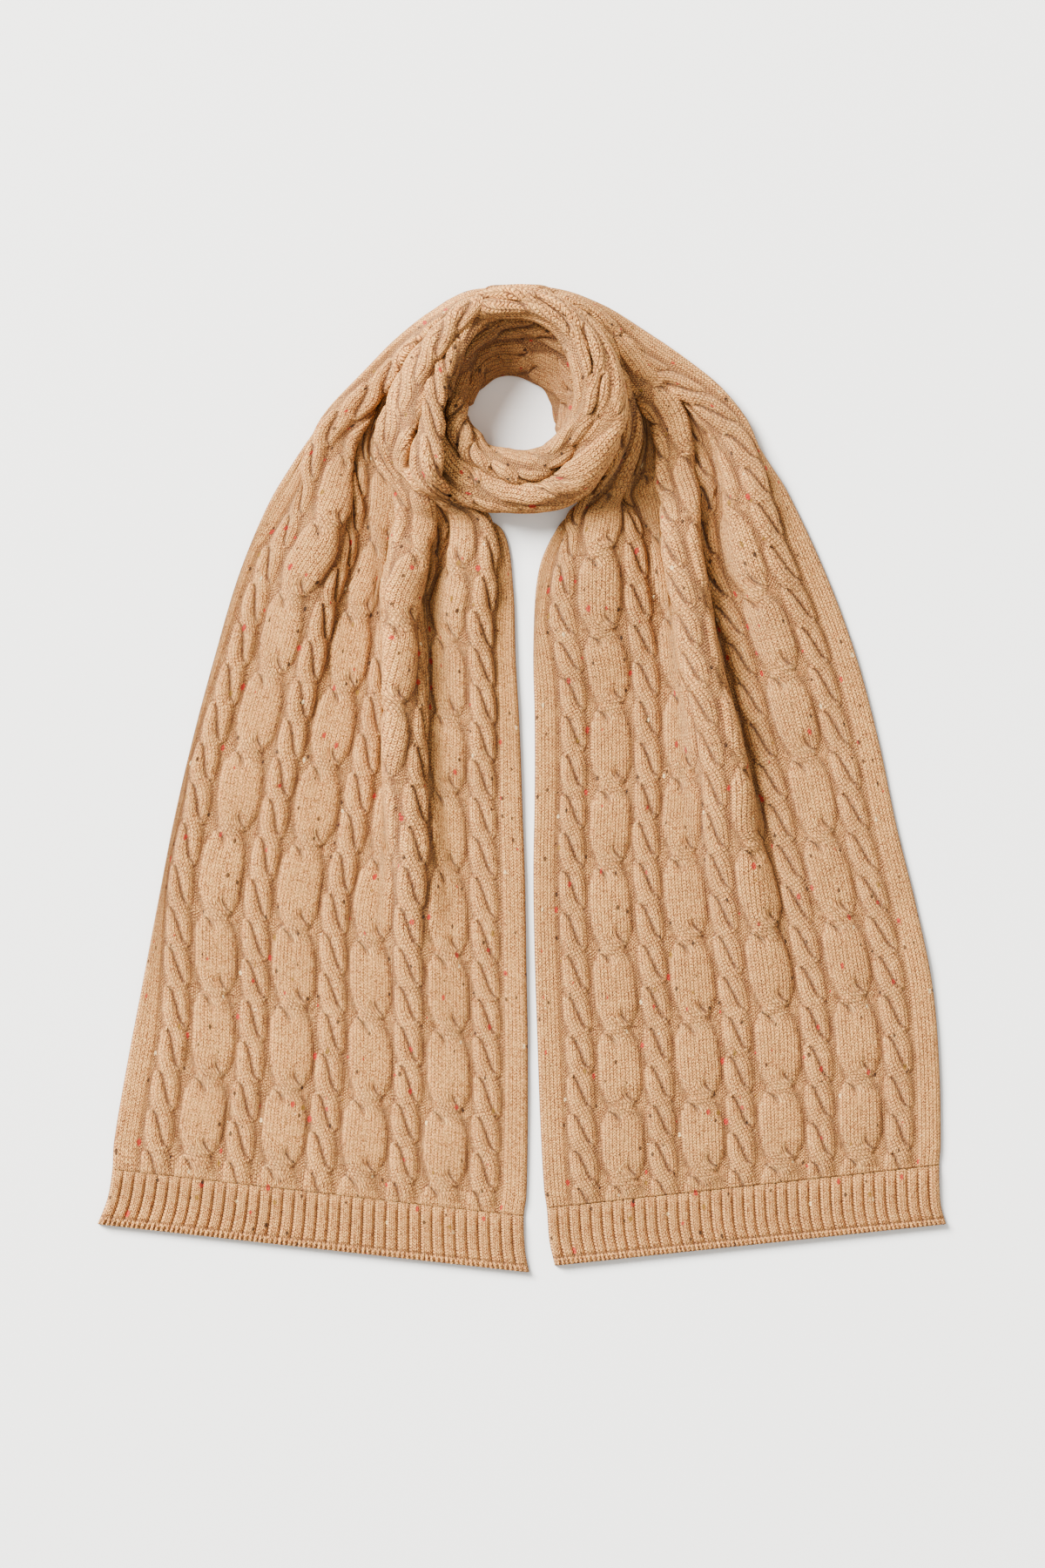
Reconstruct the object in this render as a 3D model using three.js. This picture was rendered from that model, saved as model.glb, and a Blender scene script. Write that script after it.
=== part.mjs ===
// Cable-knit scarf laid flat on a surface, seen from above with +Y away from the hems.
// One strip makes a turn and a half: right tail, first pass over the top of the ring, left inside,
// front band, right side, upper pass and left tail. Sizes are in millimetres, and z = 0 is the surface.
import * as THREE from "three";

// Cloth
const CLOTH = 4.5; // plain thickness of the knit
const RELIEF = 3.2; // how far a cable stands out of the plain knit
const SEAM = 0.3; // space between two stretches at a seam

// Cable layout across the strip
const BORDER = 17;
const ROPE = 21;
const OVAL = 31;
const GROOVE = 3.5;
const ROPE_PERIOD = 30; // along the strip, from one rope crossing to the next
const OVAL_PERIOD = 60;
const LAYOUT = ["border", "rope", "oval", "rope", "oval", "rope", "oval", "rope", "oval", "rope", "border"];
const WIDTHS = { border: BORDER, rope: ROPE, oval: OVAL };

// Outer points of a cable: how far they lie from its middle, as a share of its width, and how much
// of the relief they reach, each half way between two crossings and how much that changes at one
const ROPE_SPREAD = { between: 0.28, change: -0.08 };
const ROPE_LEFT = { between: 0.6, change: 0.4 };
const ROPE_RIGHT = { between: 0.85, change: -0.25 };
const OVAL_SPREAD = { between: 0.34, change: -0.16 };
const OVAL_LEFT = { between: 0.75, change: 0.1 };
const OVAL_MIDDLE = { between: 0.6, change: 0.4 };
const OVAL_RIGHT = { between: 0.75, change: -0.15 };
const BORDER_RISE = 0.3;
const EDGE_DROP = 1;

// Tails: rows of the strip, by their distance along it from the first crossing above the rib
const RIB_TOP = -15;
const RIB_LENGTH = 47;
const RIBS = 36;
const RIB_ROWS = 3;
const RIB_HEIGHT = 1.6; // how far a rib stands out of the plain knit
const RIB_GROOVE = 1; // how far the knit sinks between two ribs
const CAST_ON = 0.5; // share of that height left at the cast-on edge
const RIBS_BELOW = 4; // ribs to one facet of the plain underside
const ROW_STEP = 15;
const FULLEST = 1.25; // the most that a fold stands above its height in the table
const LEAST_RUN = 0.08; // how far a steep side of a fold still runs in plan, for each mm of cloth
const FOLD_SAMPLES = 149;
const RING_START = 470; // from here up, the folds of a tail are filled with hidden layers
const RING_FILL = 60; // cloth over which they fill up

// Ring
const RING_X = -4;
const RING_Y = 272;
const FRONT_FROM = 167; // degrees round the ring, from +X towards +Y
const FRONT_TO = 472;
const BACK_FROM = -18;
const BACK_TO = 166.6;
const RING_STEP = 6; // degrees
const RING_CABLES = 7; // side by side over the front stretch
const RING_RADIUS = 60; // where the cloth round the ring is as long as the strip
const CABLE_SHIFT = 11; // along the strip, from one cable's crossings to the next one's

const COLOUR = "#c69c6d";

// Left tail, from the hem up: its outer (left) and inner (right) edge, and how full its folds stand
const LEFT_EDGES = [
  { along: -62, outerX: -316, outerY: -330, innerX: 6, innerY: -366, lift: 1 },
  { along: -45, outerX: -309, outerY: -312, innerX: 3, innerY: -350, lift: 1 },
  { along: -15, outerX: -305, outerY: -289, innerX: 2, innerY: -324, lift: 1 },
  { along: 0, outerX: -304, outerY: -270, innerX: 4, innerY: -309, lift: 1 },
  { along: 60, outerX: -294, outerY: -211, innerX: 5, innerY: -253, lift: 1 },
  { along: 120, outerX: -282, outerY: -148, innerX: 5, innerY: -195, lift: 1 },
  { along: 180, outerX: -271, outerY: -90, innerX: 4, innerY: -138, lift: 1 },
  { along: 240, outerX: -259, outerY: -28, innerX: 3, innerY: -77, lift: 1 },
  { along: 300, outerX: -245, outerY: 32, innerX: 1, innerY: -18, lift: 1 },
  { along: 360, outerX: -229, outerY: 92, innerX: -1, innerY: 38, lift: 0.95 },
  { along: 420, outerX: -211, outerY: 153, innerX: -4, innerY: 92, lift: 0.85 },
  { along: 480, outerX: -189, outerY: 206, innerX: -6, innerY: 146, lift: 0.7 },
  { along: 520, outerX: -170, outerY: 238, innerX: -13, innerY: 186, lift: 0.5 },
  { along: 545, outerX: -155, outerY: 260, innerX: -34, innerY: 200, lift: 0.42 },
  { along: 558, outerX: -147, outerY: 270, innerX: -51, innerY: 209, lift: 0.4 },
  { along: 572, outerX: -137, outerY: 281, innerX: -60, innerY: 222, lift: 0.36 },
  { along: 600, outerX: -118, outerY: 300, innerX: -61, innerY: 248, lift: 0.3 },
  { along: 640, outerX: -92, outerY: 326, innerX: -59, innerY: 282, lift: 0.22 },
  { along: 680, outerX: -66, outerY: 346, innerX: -47, innerY: 312, lift: 0.14 },
  { along: 715, outerX: -40, outerY: 361, innerX: -31, innerY: 338, lift: 0.08 },
];

// Right tail, from the hem up: its inner (left) edge first, then its outer (right) edge
const RIGHT_EDGES = [
  { along: -62, outerX: 25, outerY: -361, innerX: 317, innerY: -330, lift: 1 },
  { along: -45, outerX: 21, outerY: -343, innerX: 313, innerY: -315, lift: 1 },
  { along: -15, outerX: 19, outerY: -318, innerX: 312, innerY: -286, lift: 1 },
  { along: 0, outerX: 17, outerY: -304, innerX: 313, innerY: -271, lift: 1 },
  { along: 60, outerX: 14, outerY: -250, innerX: 312, innerY: -213, lift: 1 },
  { along: 120, outerX: 12, outerY: -192, innerX: 307, innerY: -153, lift: 1 },
  { along: 180, outerX: 10, outerY: -131, innerX: 295, innerY: -94, lift: 1 },
  { along: 240, outerX: 9, outerY: -69, innerX: 280, innerY: -33, lift: 1 },
  { along: 300, outerX: 10, outerY: -12, innerX: 267, innerY: 29, lift: 1 },
  { along: 360, outerX: 10, outerY: 46, innerX: 250, innerY: 93, lift: 0.95 },
  { along: 420, outerX: 9, outerY: 101, innerX: 228, innerY: 153, lift: 0.85 },
  { along: 480, outerX: 13, outerY: 157, innerX: 198, innerY: 217, lift: 0.7 },
  { along: 520, outerX: 27, outerY: 189, innerX: 177, innerY: 248, lift: 0.5 },
  { along: 545, outerX: 45, outerY: 209, innerX: 163, innerY: 272, lift: 0.42 },
  { along: 570, outerX: 62, outerY: 238, innerX: 145, innerY: 293, lift: 0.36 },
  { along: 600, outerX: 66, outerY: 272, innerX: 121, innerY: 312, lift: 0.3 },
  { along: 640, outerX: 62, outerY: 306, innerX: 94, innerY: 331, lift: 0.24 },
  { along: 680, outerX: 50, outerY: 339, innerX: 64, innerY: 350, lift: 0.14 },
  { along: 710, outerX: 28, outerY: 355, innerX: 32, innerY: 362, lift: 0.08 },
  { along: 740, outerX: 2, outerY: 360.5, innerX: 3, innerY: 364.5, lift: 0.03 },
  { along: 760, outerX: -18, outerY: 360, innerX: -20, innerY: 363.5, lift: 0.02 },
  { along: 775, outerX: -31, outerY: 356.5, innerX: -33, innerY: 360.5, lift: 0.02 },
];

// Folds of each tail: where the crest is across the strip, how far its left and right sides reach,
// and its height at full gathering
const LEFT_FOLDS = [
  [
    { along: 60, at: 214, left: 26, right: 30, height: 0 },
    { along: 180, at: 210, left: 28, right: 34, height: 5 },
    { along: 240, at: 205, left: 30, right: 38, height: 14 },
    { along: 330, at: 188, left: 30, right: 46, height: 21 },
    { along: 420, at: 173, left: 30, right: 50, height: 26 },
    { along: 500, at: 165, left: 38, right: 48, height: 28 },
    { along: 720, at: 150, left: 50, right: 50, height: 30 },
  ],
  [
    { along: 240, at: 92, left: 40, right: 30, height: 0 },
    { along: 360, at: 84, left: 44, right: 34, height: 5 },
    { along: 430, at: 70, left: 50, right: 36, height: 14 },
    { along: 520, at: 54, left: 50, right: 46, height: 26 },
    { along: 720, at: 50, left: 48, right: 48, height: 30 },
  ],
  [
    { along: 300, at: 262, left: 30, right: 30, height: 0 },
    { along: 420, at: 258, left: 34, right: 34, height: 9 },
    { along: 520, at: 250, left: 42, right: 42, height: 24 },
    { along: 720, at: 250, left: 48, right: 48, height: 30 },
  ],
];
const RIGHT_FOLDS = [
  [
    { along: 60, at: 172, left: 40, right: 26, height: 0 },
    { along: 180, at: 172, left: 44, right: 28, height: 6 },
    { along: 260, at: 166, left: 48, right: 30, height: 14 },
    { along: 360, at: 160, left: 50, right: 32, height: 26 },
    { along: 430, at: 158, left: 46, right: 36, height: 28 },
    { along: 500, at: 162, left: 42, right: 42, height: 28 },
    { along: 760, at: 150, left: 50, right: 50, height: 30 },
  ],
  [
    { along: 300, at: 244, left: 30, right: 30, height: 0 },
    { along: 420, at: 244, left: 34, right: 40, height: 10 },
    { along: 520, at: 250, left: 42, right: 46, height: 26 },
    { along: 760, at: 250, left: 48, right: 48, height: 30 },
  ],
  [
    { along: 380, at: 64, left: 50, right: 50, height: 0 },
    { along: 450, at: 64, left: 56, right: 56, height: 12 },
    { along: 520, at: 58, left: 54, right: 56, height: 28 },
    { along: 760, at: 50, left: 48, right: 48, height: 30 },
  ],
];

// Front stretch round the ring: inner side, crease between its two rolls, outer side, underside, crests,
// and how shallow the crease is: the angle left of each roll's half circle, in radians
const FRONT_SECTIONS = [
  { turn: 160, inner: 38, crease: 52, outer: 72, base: 0, innerTop: 36, outerTop: 33, seam: 0.5 },
  { turn: 190, inner: 35.5, crease: 54, outer: 72, base: 0, innerTop: 41, outerTop: 37, seam: 0.4 },
  { turn: 210, inner: 31, crease: 52, outer: 73, base: 0, innerTop: 43, outerTop: 38, seam: 0.3 },
  { turn: 228, inner: 32, crease: 49, outer: 76, base: 0, innerTop: 45, outerTop: 38, seam: 0.25 },
  { turn: 250, inner: 28.5, crease: 48, outer: 73, base: 0, innerTop: 47, outerTop: 40, seam: 0.2 },
  { turn: 270, inner: 29, crease: 51, outer: 70.5, base: 0, innerTop: 48, outerTop: 42, seam: 0.2 },
  { turn: 290, inner: 31, crease: 51.5, outer: 73, base: 3, innerTop: 51, outerTop: 46, seam: 0.22 },
  { turn: 312, inner: 33, crease: 50, outer: 76.5, base: 15, innerTop: 55, outerTop: 52, seam: 0.3 },
  { turn: 335, inner: 36, crease: 50, outer: 75.5, base: 24, innerTop: 60, outerTop: 58, seam: 0.5 },
  { turn: 360, inner: 43, crease: 58, outer: 79, base: 27, innerTop: 64, outerTop: 61, seam: 0.8 },
  { turn: 385, inner: 50, crease: 65, outer: 81.5, base: 28.5, innerTop: 66, outerTop: 64, seam: 1 },
  { turn: 405, inner: 57, crease: 72, outer: 85, base: 32, innerTop: 66, outerTop: 65, seam: 1.05 },
  { turn: 425, inner: 67, crease: 80, outer: 89, base: 38, innerTop: 66, outerTop: 64, seam: 1.1 },
  { turn: 450, inner: 72, crease: 82, outer: 91, base: 43, innerTop: 65, outerTop: 62, seam: 1.1 },
  { turn: 480, inner: 73, crease: 83, outer: 90, base: 43, innerTop: 61, outerTop: 58, seam: 1.1 },
];

// First pass: the far wall leans out from the hole's edge to its brim under the upper pass
const BACK_SECTIONS = [
  { turn: -24, inner: 34, brim: 38, outer: 55, top: 21 },
  { turn: 0, inner: 29, brim: 44, outer: 59, top: 23 },
  { turn: 25, inner: 28, brim: 50, outer: 61, top: 25 },
  { turn: 45, inner: 29, brim: 57, outer: 66, top: 30 },
  { turn: 65, inner: 28, brim: 67, outer: 76.5, top: 37 },
  { turn: 90, inner: 30, brim: 72, outer: 84, top: 42 },
  { turn: 115, inner: 32, brim: 72, outer: 84, top: 42 },
  { turn: 135, inner: 32, brim: 65, outer: 79, top: 41 },
  { turn: 150, inner: 34, brim: 58, outer: 74, top: 38 },
  { turn: 172, inner: 36.5, brim: 49, outer: 72, top: 36 },
];

// How high each tail lies where it meets the ring, and how far out it comes down to the surface
const LEFT_DRAPE = [
  { turn: 90, height: 43, edge: 87, reach: 14 },
  { turn: 120, height: 43, edge: 82, reach: 18 },
  { turn: 150, height: 40, edge: 71, reach: 34 },
  { turn: 180, height: 41.5, edge: 69, reach: 34 },
  { turn: 205, height: 44, edge: 70, reach: 32 },
  { turn: 214, height: 42, edge: 72, reach: 32 },
  { turn: 222, height: 31, edge: 76, reach: 30 },
  { turn: 232, height: 12, edge: 76, reach: 26 },
  { turn: 242, height: 2, edge: 76, reach: 22 },
  { turn: 252, height: 0, edge: 76, reach: 18 },
];
const LEFT_PADDING = [
  { along: 560, depth: 0 },
  { along: 620, depth: 4 },
  { along: 670, depth: 9 },
  { along: 715, depth: 12 },
];
const RIGHT_PADDING = [
  { along: 560, depth: 0 },
  { along: 740, depth: 2 },
];
const RIGHT_DRAPE = [
  { turn: -70, height: 0, edge: 64, reach: 24 },
  { turn: -48, height: 0, edge: 64, reach: 24 },
  { turn: -25, height: 9, edge: 66, reach: 30 },
  { turn: 0, height: 11, edge: 72, reach: 34 },
  { turn: 30, height: 14, edge: 80, reach: 30 },
  { turn: 60, height: 24, edge: 88, reach: 16 },
  { turn: 75, height: 28, edge: 90, reach: 9 },
  { turn: 105, height: 30, edge: 91, reach: 6 },
];

const ROLL_POINTS = 8; // over each roll of the front stretch
const UNDER_POINTS = 10;
const ROUNDNESS = 0.8;
const UNDER_ROUNDNESS = 0.6;
const WAIST = 0.42; // share of the height at which the front stretch is widest
const WALL_POINTS = 9; // up the far wall
const WALL_FOOT = 0.06; // share of its height at which it starts
const WALL_SAG = 0.1; // how far it sags between foot and brim
const WALL_BULGE = 0.6; // how far its two rolls lean into the hole, as a share of their relief
const SHOULDER = 6; // rounding of the first pass outside the brim
const FOOT_HEIGHT = 5;
const FOOT_INSET = 3;

const clamp = (value, low, high) => Math.min(high, Math.max(low, value));

function smooth(value) {
  const t = clamp(value, 0, 1);
  return t * t * (3 - 2 * t);
}

// A table read at any place along its key column, with a smooth curve through its rows.
function track(table, key) {
  const names = Object.keys(table[0]).filter((name) => name !== key);
  return (at) => {
    let row = 0;
    while (row < table.length - 2 && at > table[row + 1][key]) row++;
    const from = table[row];
    const to = table[row + 1];
    const before = table[Math.max(0, row - 1)];
    const after = table[Math.min(table.length - 1, row + 2)];
    const span = to[key] - from[key];
    const t = clamp((at - from[key]) / span, 0, 1);
    const read = {};
    for (const name of names) {
      const slopeFrom = ((to[name] - before[name]) / (to[key] - before[key])) * span;
      const slopeTo = ((after[name] - from[name]) / (after[key] - from[key])) * span;
      const a = 2 * t ** 3 - 3 * t ** 2 + 1;
      const b = t ** 3 - 2 * t ** 2 + t;
      const c = -2 * t ** 3 + 3 * t ** 2;
      const d = t ** 3 - t ** 2;
      read[name] = a * from[name] + b * slopeFrom + c * to[name] + d * slopeTo;
    }
    return read;
  };
}

// Cable layout: the bands across the strip, each with its start and width.
const bands = [];
let stripWidth = 0;
for (const kind of LAYOUT) {
  if (bands.length) stripWidth += GROOVE;
  bands.push({ kind, start: stripWidth, width: WIDTHS[kind] });
  stripWidth += WIDTHS[kind];
}

// How far round its crossing a cable is: 1 at a crossing, 0 half way between two.
const crossing = (along, period) => 0.5 + 0.5 * Math.cos((2 * Math.PI * along) / period);

const shaped = (form, over) => form.between + form.change * over;

// Outer points across the strip at a row: place across and height of the relief.
function reliefRow(along) {
  const points = [{ u: 0, height: -EDGE_DROP }];
  for (const { kind, start, width } of bands) {
    const middle = start + width / 2;
    if (start > 0) points.push({ u: start - GROOVE / 2, height: 0 });
    if (kind === "border") {
      if (start > 0) points.push({ u: start, height: BORDER_RISE });
      points.push({ u: middle, height: BORDER_RISE });
      if (start === 0) points.push({ u: width, height: BORDER_RISE });
    } else if (kind === "rope") {
      const over = crossing(along, ROPE_PERIOD);
      const spread = width * shaped(ROPE_SPREAD, over);
      points.push({ u: middle - spread, height: RELIEF * shaped(ROPE_LEFT, over) });
      points.push({ u: middle + spread, height: RELIEF * shaped(ROPE_RIGHT, over) });
    } else {
      const over = crossing(along, OVAL_PERIOD);
      const spread = width * shaped(OVAL_SPREAD, over);
      points.push({ u: middle - spread, height: RELIEF * shaped(OVAL_LEFT, over) });
      points.push({ u: middle, height: RELIEF * shaped(OVAL_MIDDLE, over) });
      points.push({ u: middle + spread, height: RELIEF * shaped(OVAL_RIGHT, over) });
    }
  }
  points.push({ u: stripWidth, height: -EDGE_DROP });
  return points;
}

// Height and slope of the folded cloth at a place across a row.
function foldAt(u, folds, gather) {
  let height = 0;
  let slope = 0;
  for (const fold of folds) {
    const side = u < fold.at ? fold.left : fold.right;
    const t = (u - fold.at) / side;
    if (Math.abs(t) >= 1) continue;
    const crest = gather * Math.max(0, fold.height);
    height += (crest * (1 + Math.cos(Math.PI * t))) / 2;
    slope -= (((crest * Math.PI) / 2) * Math.sin(Math.PI * t)) / side;
  }
  return { height, run: Math.sqrt(Math.max(LEAST_RUN ** 2, 1 - slope ** 2)), slope };
}

// The cloth's profile across a row, gathered by its folds until it is as wide as the row in plan.
function profileOf(folds, width, lift) {
  const step = stripWidth / FOLD_SAMPLES;
  const planWidth = (gather) => {
    let total = 0;
    for (let i = 0; i < FOLD_SAMPLES; i++) total += foldAt((i + 0.5) * step, folds, gather).run * step;
    return total;
  };
  let low = 0;
  let high = FULLEST;
  for (let i = 0; i < 20; i++) {
    const gather = (low + high) / 2;
    if (planWidth(gather) > width) low = gather;
    else high = gather;
  }
  const stretch = width / planWidth(low);
  const reached = [0];
  for (let i = 0; i < FOLD_SAMPLES; i++) {
    reached.push(reached[i] + foldAt((i + 0.5) * step, folds, low).run * step * stretch);
  }
  return (u) => {
    const at = clamp(u / step, 0, FOLD_SAMPLES - 1e-6);
    const i = Math.floor(at);
    const { height, run, slope } = foldAt(u, folds, low);
    const rise = slope * lift;
    const length = Math.hypot(run * stretch, rise);
    return {
      x: THREE.MathUtils.lerp(reached[i], reached[i + 1], at - i),
      z: height * lift,
      cos: (run * stretch) / length,
      sin: rise / length,
    };
  };
}

// Height at which a tail lies at a point in plan, where it drapes onto or against the ring.
function drapeHeight(drape, x, y, lowestTurn) {
  let turn = THREE.MathUtils.radToDeg(Math.atan2(y - RING_Y, x - RING_X));
  if (turn < lowestTurn) turn += 360;
  const radius = Math.hypot(x - RING_X, y - RING_Y);
  const section = drape(turn);
  return Math.max(0, section.height) * (1 - smooth((radius - section.edge) / section.reach));
}

function tailShape({ edges, folds, drape, padding, lowestTurn }) {
  const edgeAt = track(edges, "along");
  const foldsAt = folds.map((fold) => track(fold, "along"));
  const drapeAt = track(drape, "turn");
  const paddingAt = track(padding, "along");
  return (along) => {
    const edge = edgeAt(along);
    const from = new THREE.Vector2(edge.outerX, edge.outerY);
    const across = new THREE.Vector2(edge.innerX, edge.innerY).sub(from);
    const width = across.length();
    across.normalize();
    const profile = profileOf(foldsAt.map((fold) => fold(along)), width, edge.lift);
    const filled = smooth((along - RING_START) / RING_FILL);
    const { depth } = paddingAt(along);
    return (u, out) => {
      const p = profile(u);
      const reach = p.x - p.sin * out;
      const x = from.x + across.x * reach;
      const y = from.y + across.y * reach;
      const drop = drapeHeight(drapeAt, x, y, lowestTurn);
      const z = drop + CLOTH / 2 + depth + p.z + p.cos * out;
      const underside = THREE.MathUtils.lerp(Math.max(drop, z), drop, filled);
      return new THREE.Vector3(x, y, out < 0 ? underside : z);
    };
  };
}

const leftTail = tailShape({
  edges: LEFT_EDGES,
  folds: LEFT_FOLDS,
  drape: LEFT_DRAPE,
  padding: LEFT_PADDING,
  lowestTurn: 0,
});
const rightTail = tailShape({
  edges: RIGHT_EDGES,
  folds: RIGHT_FOLDS,
  drape: RIGHT_DRAPE,
  padding: RIGHT_PADDING,
  lowestTurn: -180,
});

// Triangles between two rows of points that run the same way, each with its own number of points.
function zip(faces, lower, upper) {
  let i = 0;
  let j = 0;
  while (i < lower.length - 1 || j < upper.length - 1) {
    const nextLower = (i + 1) / (lower.length - 1);
    const nextUpper = (j + 1) / (upper.length - 1);
    if (j === upper.length - 1 || (i < lower.length - 1 && nextLower <= nextUpper)) {
      faces.push(lower[i], lower[i + 1], upper[j]);
      i++;
    } else {
      faces.push(upper[j + 1], upper[j], lower[i]);
      j++;
    }
  }
}

function geometryOf(points, faces) {
  const geometry = new THREE.BufferGeometry();
  geometry.setAttribute("position", new THREE.Float32BufferAttribute(points.flatMap((p) => p.toArray()), 3));
  geometry.setIndex(faces);
  geometry.computeVertexNormals();
  return geometry;
}

// A wall from an outer and an inner grid of rows, closed round its four sides.
function wallGeometry(outerRows, innerRows) {
  const points = [];
  const number = (rows) => rows.map((row) => row.map((point) => points.push(point) - 1));
  const outer = number(outerRows);
  const inner = number(innerRows);
  const faces = [];
  for (let i = 0; i < outer.length - 1; i++) zip(faces, outer[i], outer[i + 1]);
  for (let i = 0; i < inner.length - 1; i++) zip(faces, inner[i + 1], inner[i]);
  const side = (rows, column) => rows.map((row) => row.at(column));
  zip(faces, inner[0], outer[0]);
  zip(faces, outer.at(-1), inner.at(-1));
  zip(faces, side(outer, 0), side(inner, 0));
  zip(faces, side(inner, -1), side(outer, -1));
  return geometryOf(points, faces);
}

function tailGeometry(shape, from, to) {
  const rows = Math.round((to - from) / ROW_STEP);
  const outerRows = [];
  const innerRows = [];
  for (let i = 0; i <= rows; i++) {
    const along = THREE.MathUtils.lerp(from, to, i / rows);
    const at = shape(along);
    const relief = reliefRow(along);
    outerRows.push(relief.map((point) => at(point.u, CLOTH / 2 + point.height)));
    const plain = relief.filter((point, index) => index % 2 === 0);
    if (along > RING_START || i % 2 === 0 || i === rows) {
      innerRows.push(plain.map((point) => at(point.u, -CLOTH / 2)));
    }
  }
  return wallGeometry(outerRows, innerRows);
}

// The ribbed hem: ridges along the strip, low between them and round at the cast-on edge.
function ribGeometry(shape, from, to) {
  const outerRows = [];
  const innerRows = [];
  const ribWidth = stripWidth / RIBS;
  for (let i = 0; i <= RIB_ROWS; i++) {
    const at = shape(THREE.MathUtils.lerp(from, to, i / RIB_ROWS));
    const height = (CLOTH / 2 + RIB_HEIGHT) * (i === 0 ? CAST_ON : 1);
    const outer = [];
    const inner = [];
    for (let rib = 0; rib < RIBS; rib++) {
      outer.push(at(rib * ribWidth, CLOTH / 2 - RIB_GROOVE));
      outer.push(at((rib + 0.5) * ribWidth, height));
      if (rib % RIBS_BELOW === 0) inner.push(at(rib * ribWidth, -CLOTH / 2));
    }
    outer.push(at(stripWidth, CLOTH / 2 - RIB_GROOVE));
    inner.push(at(stripWidth, -CLOTH / 2));
    outerRows.push(outer);
    innerRows.push(inner);
  }
  return wallGeometry(outerRows, innerRows);
}

// A closed body swept round the ring: its sections are loops of points in the (radius, height) plane.
function ringGeometry(sectionAt, from, to) {
  const stations = Math.round((to - from) / RING_STEP);
  const points = [];
  const faces = [];
  const loops = [];
  for (let i = 0; i <= stations; i++) {
    const turn = THREE.MathUtils.lerp(from, to, i / stations);
    const angle = THREE.MathUtils.degToRad(turn);
    const loop = sectionAt(turn).map(([radius, height]) => {
      const x = RING_X + radius * Math.cos(angle);
      const y = RING_Y + radius * Math.sin(angle);
      return points.push(new THREE.Vector3(x, y, height)) - 1;
    });
    loops.push([...loop, loop[0]]);
  }
  for (let i = 0; i < stations; i++) {
    for (let j = 0; j < loops[i].length - 1; j++) {
      const [a, b] = [loops[i][j], loops[i][j + 1]];
      const [c, d] = [loops[i + 1][j], loops[i + 1][j + 1]];
      faces.push(a, b, d, a, d, c);
    }
  }
  const cap = (loop, flip) => {
    const flat = loop.slice(0, -1);
    const outline = sectionPlane(flat.map((index) => points[index]));
    for (const [a, b, c] of THREE.ShapeUtils.triangulateShape(outline, [])) {
      const face = [flat[a], flat[b], flat[c]];
      faces.push(...(flip ? face.reverse() : face));
    }
  };
  cap(loops[0], false);
  cap(loops.at(-1), true);
  return geometryOf(points, faces);
}

// The points of one section seen in its own plane, as radius and height.
function sectionPlane(points) {
  return points.map((p) => new THREE.Vector2(Math.hypot(p.x - RING_X, p.y - RING_Y), p.z));
}

const frontTable = track(FRONT_SECTIONS, "turn");

// Relief along the ring: cables side by side across the section, each with its crossings.
function ringRelief(turn, share) {
  const along = THREE.MathUtils.degToRad(turn) * RING_RADIUS;
  const cable = Math.floor(RING_CABLES * share);
  const height = Math.sin(Math.PI * RING_CABLES * share) ** 2;
  return RELIEF * height * (0.5 + 0.5 * crossing(along + CABLE_SHIFT * cable, ROPE_PERIOD));
}

// Power of a sine or cosine that keeps its sign, which squares a half circle off.
const squared = (value) => Math.sign(value) * Math.abs(value) ** ROUNDNESS;

// A section of the front stretch: two rolls on top with a crease between them, over a flat underside.
function frontSection(turn) {
  const section = frontTable(turn);
  const base = Math.max(0, section.base);
  const waist = THREE.MathUtils.lerp(base, Math.min(section.innerTop, section.outerTop), WAIST);
  const loop = [];
  const roll = (from, to, top, startAngle, endAngle, firstShare) => {
    for (let i = 0; i < ROLL_POINTS; i++) {
      const t = i / (ROLL_POINTS - 1);
      const angle = THREE.MathUtils.lerp(startAngle, endAngle, t);
      const rise = Math.max(0, squared(Math.sin(angle)));
      const radius = (from + to) / 2 + ((to - from) / 2) * squared(Math.cos(angle));
      const bulge = ringRelief(turn, firstShare + t / 2) * rise;
      loop.push([radius, waist + (top - waist) * rise + bulge]);
    }
  };
  roll(section.inner, section.crease, section.innerTop, Math.PI, section.seam, 0);
  roll(section.crease, section.outer, section.outerTop, Math.PI - section.seam, 0, 0.5);
  const middle = (section.inner + section.outer) / 2;
  const half = (section.outer - section.inner) / 2;
  for (let i = 1; i < UNDER_POINTS; i++) {
    const angle = (Math.PI * i) / UNDER_POINTS;
    loop.push([middle + half * squared(Math.cos(angle)), waist - (waist - base) * Math.sin(angle) ** UNDER_ROUNDNESS]);
  }
  return loop;
}

const backTable = track(BACK_SECTIONS, "turn");

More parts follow.
